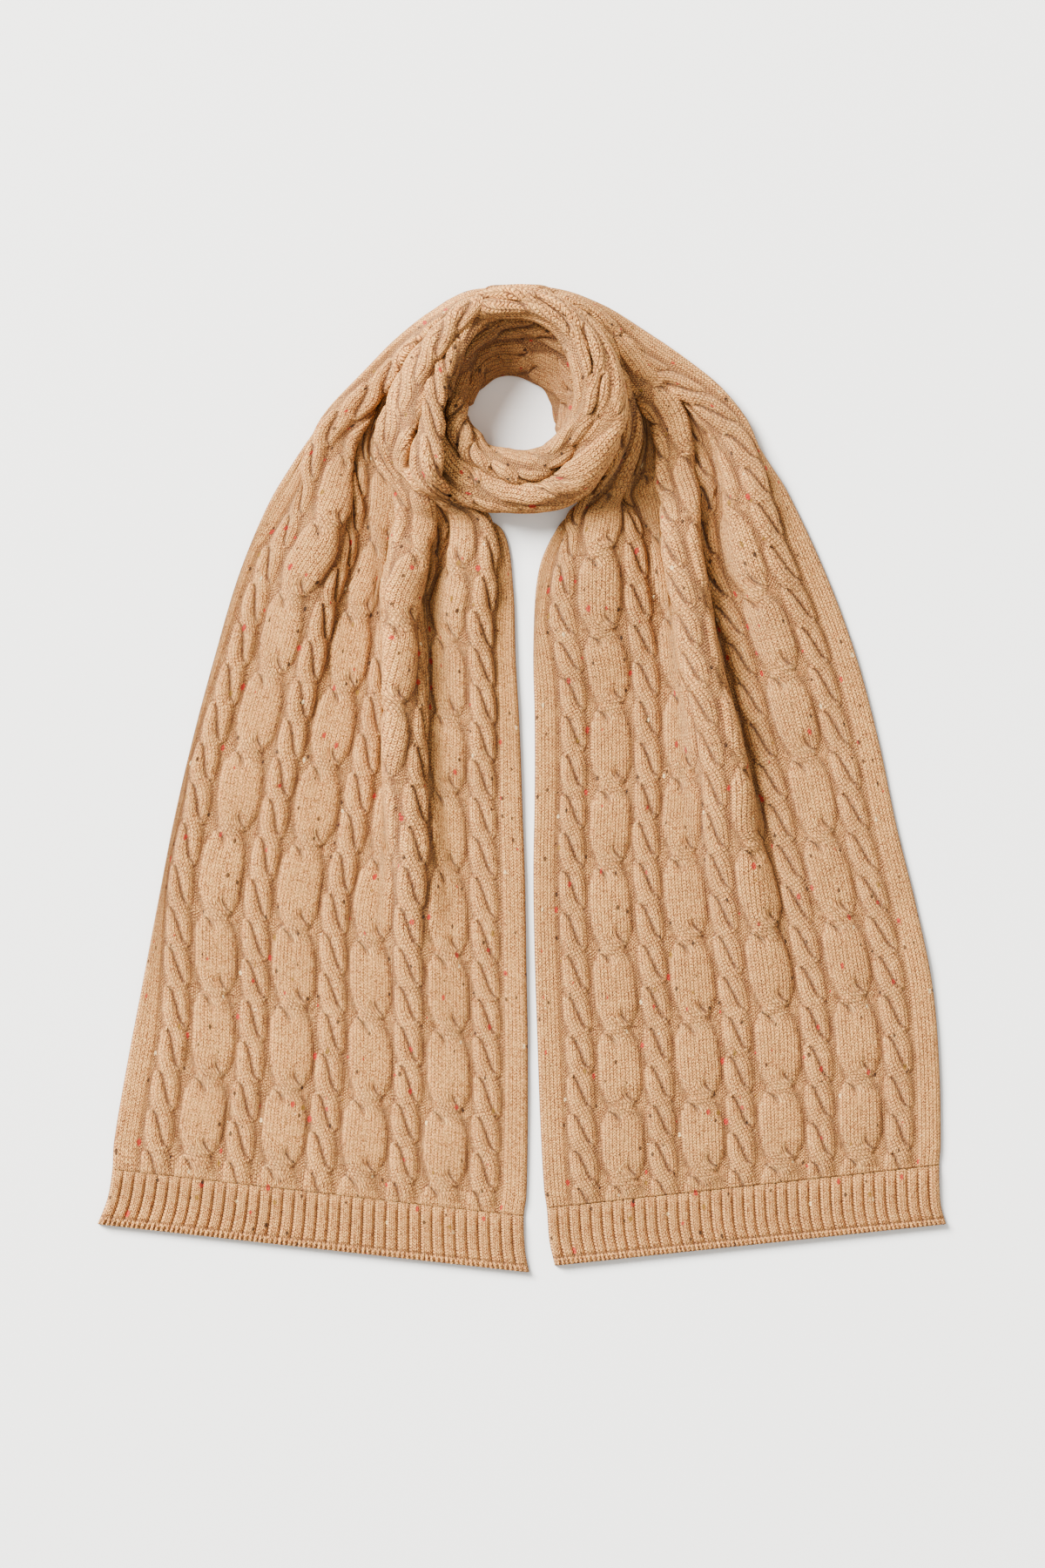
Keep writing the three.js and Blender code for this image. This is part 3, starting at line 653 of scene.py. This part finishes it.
def wall(shell, outer, inner):
    """Closes an outer and an inner grid round their four sides."""
    shell.quads(outer)
    shell.quads(inner, flip=True)
    shell.zip(inner[0].tolist(), outer[0].tolist())
    shell.zip(outer[-1].tolist(), inner[-1].tolist())
    shell.zip(outer[:, 0].tolist(), inner[:, 0].tolist())
    shell.zip(inner[:, -1].tolist(), outer[:, -1].tolist())


def rounded_edge(place, length, radius):
    """Share of the thickness left near the two ends of a length."""
    t = np.clip(np.minimum(place, length - place) / radius, 0, 1)
    return np.sqrt(np.maximum(0.04, 1 - (1 - t) ** 2))


def tail_piece(name, tail, start, end, rows, cols, cloth, material, relief, height, flip_course):
    u = np.linspace(0, STRIP, cols)
    along = np.linspace(start, end, rows)
    x, y, drop, rise, swallowed = tail.surface(u, along)
    middle = np.stack([x, y, drop + cloth / 2 + rise], -1)
    normal = normals_of(middle)
    grid_u, grid_s = np.meshgrid(u, along)
    knit, wale, course, purl, crease, faint = relief(grid_u, grid_s)
    if start == RIB_TOP:
        knit = knit * (0.3 + 0.7 * smooth((grid_s - start) / 10))
    out = cloth / 2 + height * knit
    out = out * rounded_edge(grid_u, STRIP, 4.0) * (1 - 0.6 * swallowed)
    outer = middle + normal * out[..., None]
    outer[..., 2] = np.maximum(outer[..., 2], 0.4)
    sign = -1 if flip_course else 1
    shell = Shell(sign)
    # painted shade: darker in the cable hollows and on the cloth swallowed into the folds
    top = shell.grid(
        outer, wale, sign * course, grid_u, grid_s, purl,
        np.clip(hollows(knit) + 0.5 * swallowed, 0, 1), crease, faint,
    )
    under_u = np.linspace(0, STRIP, max(12, cols // 4))
    under_s = np.linspace(start, end, max(4, rows // 4))
    x, y, drop, rise, _ = tail.surface(under_u, under_s)
    filled = smooth((under_s - RING_START) / 60)[:, None]
    z = drop + np.maximum(0, rise - 1.0) * (1 - filled)
    bottom = shell.plain(np.stack([x, y, np.maximum(z, 0.0)], -1))
    wall(shell, top, bottom)
    return shell.piece(name, material)


def swept(shell, outer, bubble):
    """Closes a tube of sections at both ends, round an empty core."""
    for sections, flip in ((outer, False), (bubble, True)):
        shell.quads(sections, flip=flip, wrap=True)
        for ring, back in ((sections[0], True), (sections[-1], False)):
            ring = ring.tolist()
            half = len(ring) // 2
            turned = back != flip
            for i in range(half - 1):
                face = [ring[i], ring[i + 1], ring[-2 - i], ring[-1 - i]]
                shell.faces.append(face if turned else face[::-1])


def round_ring(radius, height, turn):
    angle = np.radians(turn)[:, None]
    x = RING_CENTRE[0] + radius * np.cos(angle)
    y = RING_CENTRE[1] + radius * np.sin(angle)
    return np.stack([x, y, height], -1)


def even_sections(radius, height, count):
    """Sections resampled to points evenly spaced along each of them, with their lengths."""
    radii, heights, lengths = [], [], []
    for r, z in zip(radius, height):
        r, z = np.append(r, r[0]), np.append(z, z[0])
        length = np.concatenate([[0], np.cumsum(np.hypot(np.diff(r), np.diff(z)))])
        places = np.linspace(0, length[-1], count, endpoint=False)
        radii.append(np.interp(places, length, r))
        heights.append(np.interp(places, length, z))
        lengths.append(places)
    return np.array(radii), np.array(heights), np.array(lengths)


def squared(value, power=0.8):
    return np.sign(value) * np.abs(value) ** power


def front_sections(turn):
    """Two rolls with a crease between them over a flat underside, inner side first."""
    section = {name: values[:, None] for name, values in read(FRONT_SECTIONS, "turn", turn).items()}
    base = np.maximum(0, section["base"])
    waist = base + 0.42 * (np.minimum(section["inner_top"], section["outer_top"]) - base)
    radii, heights = [], []
    t = np.linspace(0, 1, 60)[None, :]
    arcs = (
        ("inner", "crease", "inner_top", math.pi + 0 * section["seam"], section["seam"]),
        ("crease", "outer", "outer_top", math.pi - section["seam"], 0 * section["seam"]),
    )
    for near, far, top, first, last in arcs:
        angle = first + (last - first) * t
        rise = np.maximum(0, squared(np.sin(angle)))
        middle, half = (section[near] + section[far]) / 2, (section[far] - section[near]) / 2
        radii.append(middle + half * squared(np.cos(angle)))
        heights.append(waist + (section[top] - waist) * rise)
    angle = np.pi * np.linspace(0, 1, 40)[None, 1:-1]
    middle = (section["inner"] + section["outer"]) / 2
    half = (section["outer"] - section["inner"]) / 2
    radii.append(middle + half * squared(np.cos(angle)))
    heights.append(waist - (waist - base) * np.sin(angle) ** 0.6)
    return np.concatenate(radii, 1), np.concatenate(heights, 1), section


def ring_piece(name, turn, radius, height, top_share, shade, knit_height, material, pattern):
    """A stretch of the ring: its skin with cables where it shows and with painted shade, and the empty core
    under its layers.
    """
    points = round_ring(radius, height, turn)
    lengths = np.linalg.norm(np.diff(points, axis=1, append=points[:, :1]), axis=-1)
    across = np.cumsum(lengths, 1) - lengths
    grid_u, grid_s = pattern(across, turn)
    knit, wale, course, purl, crease, faint = knit_relief(grid_u % STRIP, grid_s)
    knit = knit * top_share
    normal = normals_of(points, closed=True)
    rough = 0.9 * lumps(across + 300, grid_s + 900, 34, 61) + 0.5 * lumps(across + 300, grid_s + 900, 13, 62)
    out = knit_height * knit + rough * top_share
    outer = points + normal * out[..., None]
    lack = np.clip(1 - np.minimum(turn - turn[0], turn[-1] - turn) / TUCK, 0, 1)
    middle = outer.mean(1, keepdims=True)
    outer = middle + (outer - middle) * (1 - 0.3 * lack**2)[:, None, None]
    outer[..., 2] = np.maximum(outer[..., 2], 0.2)
    shell = Shell()
    # painted shade: darker in the cable hollows where the knit shows, plus the shade this stretch is given
    dark_and_shade = np.clip(hollows(knit) * top_share + shade, 0, 1)
    skin = shell.grid(outer, wale, course, grid_u, grid_s, purl * top_share, dark_and_shade, crease, faint)
    few = slice(1, -1, 4)
    core = points[few, ::4]
    centre = core.mean(1, keepdims=True)
    bubble = shell.plain(centre + (core - centre) * 0.66)
    swept(shell, skin, bubble)
    return shell.piece(name, material)


class Channel:
    """A socket of a material's nodes that can be used in sums."""

    def __init__(self, dye, socket):
        self.dye = dye
        self.socket = socket

    def maths(self, operation, *others, swapped=False):
        values = [self, *others]
        if swapped:
            values.reverse()
        found = {index: value for index, value in enumerate(values)}
        return self.dye.node("ShaderNodeMath", {"operation": operation}, found)

    def __add__(self, other):
        return self.maths("ADD", other)

    def __sub__(self, other):
        return self.maths("SUBTRACT", other)

    def __rsub__(self, other):
        return self.maths("SUBTRACT", other, swapped=True)

    def __mul__(self, other):
        return self.maths("MULTIPLY", other)

    def __pow__(self, other):
        return self.maths("POWER", other)

    def __lt__(self, other):
        return self.maths("LESS_THAN", other)

    def __gt__(self, other):
        return self.maths("GREATER_THAN", other)

    def __abs__(self):
        return self.maths("ABSOLUTE")

    __radd__ = __add__
    __rmul__ = __mul__

    def part(self):
        return self.maths("FRACT")

    def output(self, place):
        """Another output of the same node."""
        return Channel(self.dye, self.socket.node.outputs[place])

    def between(self, low, high):
        """0 below low, 1 above high, and smooth from one to the other."""
        values = {"Value": self, "From Min": low, "From Max": high}
        return self.dye.node("ShaderNodeMapRange", {"interpolation_type": "SMOOTHSTEP"}, values)


class Dye:
    """A material and its nodes."""

    def __init__(self, name):
        self.material = bpy.data.materials.new(name)
        self.material.use_nodes = True
        self.tree = self.material.node_tree
        self.shader = self.tree.nodes["Principled BSDF"]

    def node(self, kind, settings=None, values=None, out=0):
        made = self.tree.nodes.new(kind)
        for name, value in (settings or {}).items():
            setattr(made, name, value)
        for place, value in (values or {}).items():
            socket = made.inputs[place]
            if isinstance(value, Channel):
                self.tree.links.new(value.socket, socket)
            else:
                socket.default_value = value
        return Channel(self, made.outputs[out])

    def noise(self, place, scale, detail, roughness):
        values = {"Vector": place, "Scale": scale, "Detail": detail, "Roughness": roughness}
        return self.node("ShaderNodeTexNoise", {"noise_dimensions": "2D"}, values)

    def mix(self, share, first, second):
        values = {0: share, 6: first, 7: second}
        return self.node("ShaderNodeMix", {"data_type": "RGBA"}, values, out=2)

    def feed(self, socket, channel):
        self.tree.links.new(channel.socket, self.shader.inputs[socket])

    def fix(self, **values):
        for name, value in values.items():
            self.shader.inputs[name.replace("_", " ")].default_value = value


# Drops of dyed fibre: spacing and share of the places that have one, radius, seed and colour
FLECKS = (
    (12.0, 0.14, 1.1, 1, (0.42, 0.010, 0.008, 1)),
    (8.0, 0.14, 0.8, 2, (0.030, 0.010, 0.005, 1)),
    (14.0, 0.06, 1.0, 3, (0.24, 0.11, 0.008, 1)),
    (12.0, 0.04, 0.8, 4, (0.90, 0.62, 0.28, 1)),
)


def flecks(dye, place, fibre, size, share, radius, seed):
    """Sparse drops of dyed fibre, with ragged edges: where one shows."""
    values = {0: place, 1: (1.0, 0.6, 1.0)}
    longer = dye.node("ShaderNodeVectorMath", {"operation": "MULTIPLY"}, values)
    values = {0: longer, 1: (seed * 7.3, seed * 3.1, 0)}
    moved = dye.node("ShaderNodeVectorMath", {"operation": "ADD"}, values)
    settings = {"voronoi_dimensions": "2D", "feature": "F1"}
    values = {"Vector": moved, "Scale": 1 / size, "Randomness": 0.9}
    distance = dye.node("ShaderNodeTexVoronoi", settings, values)
    number = dye.node("ShaderNodeSeparateColor", {}, {0: distance.output("Color")})
    reach = (0.4 + number.output(2)) * (radius / size) + (fibre - 0.5) * (2.2 * radius / size)
    return (1 - (distance - reach).between(-0.01, 0.02)) * (number < share)


def wool(name, shades):
    """Flecked wool: knit and purl stitches, fibre, heathered colour and drops of dyed fibre, with painted
    shade between the stitches, in hollows, creases and purl grooves, and a painted highlight on the raised
    yarn.
    """
    dye = Dye(name)
    stitch_map = dye.node("ShaderNodeUVMap", {"uv_map": "stitches"})
    wale = dye.node("ShaderNodeSeparateXYZ", {}, {0: stitch_map})
    course = wale.output(1)
    cloth = dye.node("ShaderNodeUVMap", {"uv_map": "cloth"})
    purl = dye.node("ShaderNodeAttribute", {"attribute_name": "purl"}, out="Fac")
    hollow_shade = dye.node("ShaderNodeAttribute", {"attribute_name": "hollow_shade"}, out="Fac")
    beside = abs(dye.node("ShaderNodeAttribute", {"attribute_name": "crease"}, out="Fac"))
    faint = dye.node("ShaderNodeAttribute", {"attribute_name": "faint"}, out="Fac")

    fibre = dye.noise(cloth, 0.8, 4.0, 0.65)
    ply = dye.noise(stitch_map, 0.9, 3.0, 0.75)
    patch = dye.noise(cloth, 0.12, 3.0, 0.6)
    blotch = dye.noise(cloth, 0.03, 2.0, 0.5)

    off = abs(wale.part() - 0.5) * 2
    leg = (course - off * 0.85 + fibre * 0.3).part()
    yarn = 1 - (leg * 2 - 1) ** 2
    knit = (yarn ** 0.6) * (1 - off ** 4 * 0.9) * (0.75 + 0.25 * off.between(0.0, 0.3))
    side = (wale * 2).part()
    step = (course + (wale.part() > 0.5) * 0.5).part()
    bump = (1 - (step * 2 - 1) ** 2) * (1 - (side * 2 - 1) ** 2 * 0.6)
    stitches = knit + (bump * 0.9 - knit) * purl
    crease = 1 - (beside + faint + fibre * 0.8).between(0.1, 2.4)
    depth = stitches * (0.6 + ply * 0.8) + fibre * 0.7 - crease * 1.2

    pale_and_highlight, base, dark_and_shade = shades
    # painted shade: the dark colour fills the gaps between the yarn of each stitch
    shade = dye.mix(stitches.between(0.28, 0.8), dark_and_shade, base)
    # partly pale fibre patches, partly a painted highlight on the raised yarn of the stitches
    shade = dye.mix(stitches.between(0.4, 0.8) * ply.between(0.46, 0.6), shade, pale_and_highlight)
    shade = dye.mix((1 - ply.between(0.34, 0.5)) * 0.6, shade, dark_and_shade)
    shade = dye.mix(fibre.between(0.5, 0.66) * 0.5, shade, pale_and_highlight)
    shade = dye.mix((1 - fibre.between(0.36, 0.5)) * 0.7, shade, dark_and_shade)
    shade = dye.mix(patch.between(0.35, 0.75) * 0.25, shade, pale_and_highlight)
    shade = dye.mix(blotch.between(0.3, 0.7) * 0.15, shade, dark_and_shade)
    # painted shade: cable hollows, cloth tucked into folds, the ring's inner walls and the crease between
    # its rolls
    shade = dye.mix(hollow_shade * 0.72, shade, dark_and_shade)
    # painted shade along the creases between crossing strands
    shade = dye.mix(crease * 0.6, shade, dark_and_shade)
    # painted shade in the purl grooves
    shade = dye.mix(purl * 0.12, shade, dark_and_shade)
    for size, share, radius, seed, tint in FLECKS:
        inside = flecks(dye, cloth, fibre, size, share, radius, seed)
        shade = dye.mix(inside * 0.9, shade, tint)
    dye.feed("Base Color", shade)
    raised = dye.node("ShaderNodeBump", {}, {"Height": depth, "Distance": 0.0014, "Strength": 1.0})
    dye.feed("Normal", raised)
    dye.fix(
        Roughness=0.92, Specular_IOR_Level=0.1,
        Sheen_Weight=0.12, Sheen_Roughness=0.5, Sheen_Tint=(1.0, 0.8, 0.55, 1),
    )
    dye.material.diffuse_color = base
    return dye.material


class ScarfCloth(bpy.types.PropertyGroup):
    """Sizes of the knit."""

    thickness: FloatProperty(
        name="Thickness", description="Plain thickness of the knit", default=0.0045, unit="LENGTH"
    )
    relief: FloatProperty(
        name="Cable relief", description="How far a cable stands out", default=0.0046, unit="LENGTH"
    )
    rib: FloatProperty(
        name="Rib height", description="How far a rib stands out", default=0.0030, unit="LENGTH"
    )


class ScarfColours(bpy.types.PropertyGroup):
    """Colours of the wool."""

    # palest fibres, also the colour of the painted highlight on the raised yarn
    pale_and_highlight: FloatVectorProperty(
        name="Pale fibre", description="Colour of the palest fibres",
        default=(1.0, 0.52, 0.155, 1), size=4, subtype="COLOR"
    )
    base: FloatVectorProperty(
        name="Wool", description="Main colour of the wool",
        default=(0.92, 0.35, 0.08, 1), size=4, subtype="COLOR"
    )
    # dark fibres, also the colour of the painted shade between stitches, in creases, hollows and purl
    # grooves and on the ring's inner walls
    dark_and_shade: FloatVectorProperty(
        name="Depths", description="Colour between the stitches",
        default=(0.115, 0.038, 0.016, 1), size=4, subtype="COLOR"
    )


class ScarfStage(bpy.types.PropertyGroup):
    """Floor, light and camera."""

    floor: FloatVectorProperty(
        name="Floor", description="Colour of the floor",
        default=(0.92, 0.91, 0.87, 1), size=4, subtype="COLOR"
    )
    key: FloatProperty(
        name="Key light", description="Power of the light from the upper left", default=7600.0, unit="POWER"
    )
    fill: FloatProperty(
        name="Fill light", description="Power of the light from the right", default=15.0, unit="POWER"
    )
    camera_height: FloatProperty(
        name="Camera height", description="Height of the camera over the floor", default=5.0, unit="LENGTH"
    )


def wool_for(context, slot):
    """The wool of a slot, made the first time it is asked for."""
    name = slot + "_wool"
    found = bpy.data.materials.get(name)
    if found:
        return found
    colours = context.scene.scarf_colours
    return wool(name, (tuple(colours.pale_and_highlight), tuple(colours.base), tuple(colours.dark_and_shade)))


class SCARF_OT_tails(bpy.types.Operator):
    """Knit the two cabled tails over their solids"""

    bl_idname = "scarf.tails"
    bl_label = "Tails"

    def execute(self, context):
        cloth = context.scene.scarf_cloth
        thickness, relief = cloth.thickness / MM, cloth.relief / MM
        material = wool_for(context, "cable_knit")
        for name, tail, end, under in (
            ("left_tail", LEFT, LEFT_END, ["loop_front", "loop_back"]),
            ("right_tail", RIGHT, RIGHT_END, []),
        ):
            piece = tail_piece(
                name + "_knit", tail, RIB_TOP, end, *TAIL_GRID, thickness, material,
                knit_relief, relief, name == "right_tail",
            )
            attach(piece, "root")
            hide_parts(name)
            (end - RIB_TOP) * MM
        return {"FINISHED"}


class SCARF_OT_hems(bpy.types.Operator):
    """Knit the two ribbed hems"""

    bl_idname = "scarf.hems"
    bl_label = "Ribbed hems"

    def execute(self, context):
        cloth = context.scene.scarf_cloth
        thickness, relief = cloth.thickness / MM, cloth.rib / MM
        material = wool_for(context, "rib_knit")
        for name, tail in (("left_rib", LEFT), ("right_rib", RIGHT)):
            piece = tail_piece(
                name + "_knit", tail, RIB_TOP - RIB_LENGTH, RIB_TOP - SEAM, *HEM_GRID,
                thickness, material, rib_relief, relief, name == "right_rib",
            )
            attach(piece, "root")
            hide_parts(name)
        return {"FINISHED"}


class SCARF_OT_front(bpy.types.Operator):
    """Knit the front stretch of the ring: two rolls, right side and upper pass"""

    bl_idname = "scarf.front"
    bl_label = "Front stretch"

    def execute(self, context):
        turn = np.linspace(FRONT_FROM, FRONT_TO, FRONT_GRID[0])
        radius, height, section = front_sections(turn)
        radius, height, length = even_sections(radius, height, FRONT_GRID[1])
        around = length / length[:, -1:]

        def pattern(across, turns):
            total = across[:, -1:] + 1.0
            crease = 0.36 * total
            u = 149 + (across - crease) + 0.09 * (FRONT_TO - turns)[:, None]
            along = 715 + (FRONT_TO - turns)[:, None] * math.pi / 180 * RING_RADIUS
            return u, along + 0 * u

        shown = bell((around - 0.36) / 0.42) ** 0.25
        # painted shade: darker down the hole's inner wall and along the crease between the two rolls, the
        # crease shade fading out from turn 285 on
        fading = 1 - 0.75 * smooth((turn - 285) / 60)[:, None]
        between = bell((radius - section["crease"]) / 4.5) * (height > 0.3 * section["inner_top"]) * fading
        shade = 0.5 * (1 - smooth(around / 0.14)) + 0.75 * between
        piece = ring_piece(
            "loop_front_knit", turn, radius, height, np.clip(shown, 0, 1), shade,
            context.scene.scarf_cloth.relief / MM, wool_for(context, "cable_knit"), pattern,
        )
        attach(piece, "root")
        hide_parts("loop_front")
        return {"FINISHED"}


class SCARF_OT_first_pass(bpy.types.Operator):
    """Knit the first pass of the ring: the far wall of the neck hole"""

    bl_idname = "scarf.first_pass"
    bl_label = "First pass"

    def execute(self, context):
        turn = np.linspace(BACK_FROM, BACK_TO, BACK_GRID[0])
        section = {name: values[:, None] for name, values in read(BACK_SECTIONS, "turn", turn).items()}
        inner, brim, outer, top = (section[name] for name in ("inner", "brim", "outer", "top"))
        t = np.linspace(0, 1, 60)[None, :]
        sag = 1 - 0.1 * np.sin(np.pi * t)
        angle = np.radians(turn)[:, None]
        drift = 0.12 * np.sin(2 * angle + 0.4)
        roll = np.abs(np.sin(np.pi * (2.5 * t + drift))) ** 0.7
        radii = [inner + (brim - inner) * t - 2.6 * roll * np.sin(np.pi * t) ** 0.3]
        heights = [top * (0.06 + 0.94 * t) * sag + 1.2 * roll * np.sin(np.pi * t) ** 0.5]
        shoulder = np.minimum(6, (outer - brim) / 3)
        for r, z in (
            (outer - shoulder, top),
            (outer - shoulder / 4, top - shoulder),
            (outer, top / 2),
            (outer - shoulder / 4, 5 + 0 * top),
            (outer - shoulder, 0.2 + 0 * top),
            (inner + 3, 0.2 + 0 * top),
        ):
            radii.append(r)
            heights.append(z)
        radii, heights = np.concatenate(radii, 1), np.concatenate(heights, 1)
        radius, height, length = even_sections(radii, heights, BACK_GRID[1])
        around = length / length[:, -1:]

        def pattern(across, turns):
            u = 96 + across + 0.05 * turns[:, None]
            return u, 40 + turns[:, None] * math.pi / 180 * RING_RADIUS + 0 * u

        shown = smooth(around / 0.04) * (1 - smooth((around - 0.42) / 0.1))
        # painted shade: the whole far wall of the neck hole is darkened by an even 0.55
        piece = ring_piece(
            "loop_back_knit", turn, radius, height, shown, 0.55,
            context.scene.scarf_cloth.relief / MM * 0.8, wool_for(context, "cable_knit"), pattern,
        )
        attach(piece, "root")
        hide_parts("loop_back")
        return {"FINISHED"}


class SCARF_OT_stage(bpy.types.Operator):
    """Lay the floor and set up the light and the camera"""

    bl_idname = "scarf.stage"
    bl_label = "Stage"

    def execute(self, context):
        stage = context.scene.scarf_stage
        bpy.ops.object.select_all(action="DESELECT")
        bpy.ops.mesh.primitive_plane_add(size=FLOOR_SIZE, location=(0, 0, 0))
        floor = context.object
        floor.name = "floor"
        paint = Dye("floor_paint")
        paint.fix(Base_Color=tuple(stage.floor), Roughness=0.95, Specular_IOR_Level=0.1)
        floor.data.materials.append(paint.material)

        def lamp(name, place, size, power):
            light = bpy.data.lights.new(name, "AREA")
            light.shape = "DISK"
            light.size = size
            light.energy = power
            lamp_object = bpy.data.objects.new(name, light)
            lamp_object.location = place
            aim = -lamp_object.location
            lamp_object.rotation_euler = aim.to_track_quat("-Z", "Y").to_euler()
            context.scene.collection.objects.link(lamp_object)

        lamp("key_light", KEY_PLACE, KEY_SIZE, stage.key)
        lamp("fill_light", FILL_PLACE, FILL_SIZE, stage.fill)

        world = bpy.data.worlds.new("studio")
        world.use_nodes = True
        background = world.node_tree.nodes["Background"]
        background.inputs["Color"].default_value = (1.0, 0.99, 0.97, 1)
        background.inputs["Strength"].default_value = 0.9
        context.scene.world = world

        camera = bpy.data.cameras.new("camera")
        camera.sensor_width = FILM
        camera.lens = FILM * stage.camera_height / VIEW_HEIGHT
        camera.clip_end = 50
        holder = bpy.data.objects.new("camera", camera)
        holder.location = (*VIEW_CENTRE, stage.camera_height)
        context.scene.collection.objects.link(holder)
        context.scene.camera = holder
        return {"FINISHED"}


class SCARF_PT_panel(bpy.types.Panel):
    """Scarf pieces"""

    bl_idname = "SCARF_PT_panel"
    bl_label = "Cable-knit scarf"
    bl_space_type = "VIEW_3D"
    bl_region_type = "UI"
    bl_category = "Scarf"

    def draw(self, context):
        for group in ("scarf_cloth", "scarf_colours", "scarf_stage"):
            settings = getattr(context.scene, group)
            for name in settings.__annotations__:
                self.layout.prop(settings, name)
        for operator in OPERATORS:
            self.layout.operator(operator.bl_idname)


OPERATORS = (SCARF_OT_tails, SCARF_OT_hems, SCARF_OT_first_pass, SCARF_OT_front, SCARF_OT_stage)
GROUPS = {"scarf_cloth": ScarfCloth, "scarf_colours": ScarfColours, "scarf_stage": ScarfStage}


def register():
    for kind in (*GROUPS.values(), *OPERATORS, SCARF_PT_panel):
        bpy.utils.register_class(kind)
    for name, group in GROUPS.items():
        setattr(bpy.types.Scene, name, PointerProperty(type=group))


def unregister():
    for name in GROUPS:
        delattr(bpy.types.Scene, name)
    for kind in reversed((*GROUPS.values(), *OPERATORS, SCARF_PT_panel)):
        bpy.utils.unregister_class(kind)


def main():
    register()
    bpy.ops.scarf.tails()
    bpy.ops.scarf.hems()
    bpy.ops.scarf.first_pass()
    bpy.ops.scarf.front()
    bpy.ops.scarf.stage()


if __name__ == "__main__":
    main()
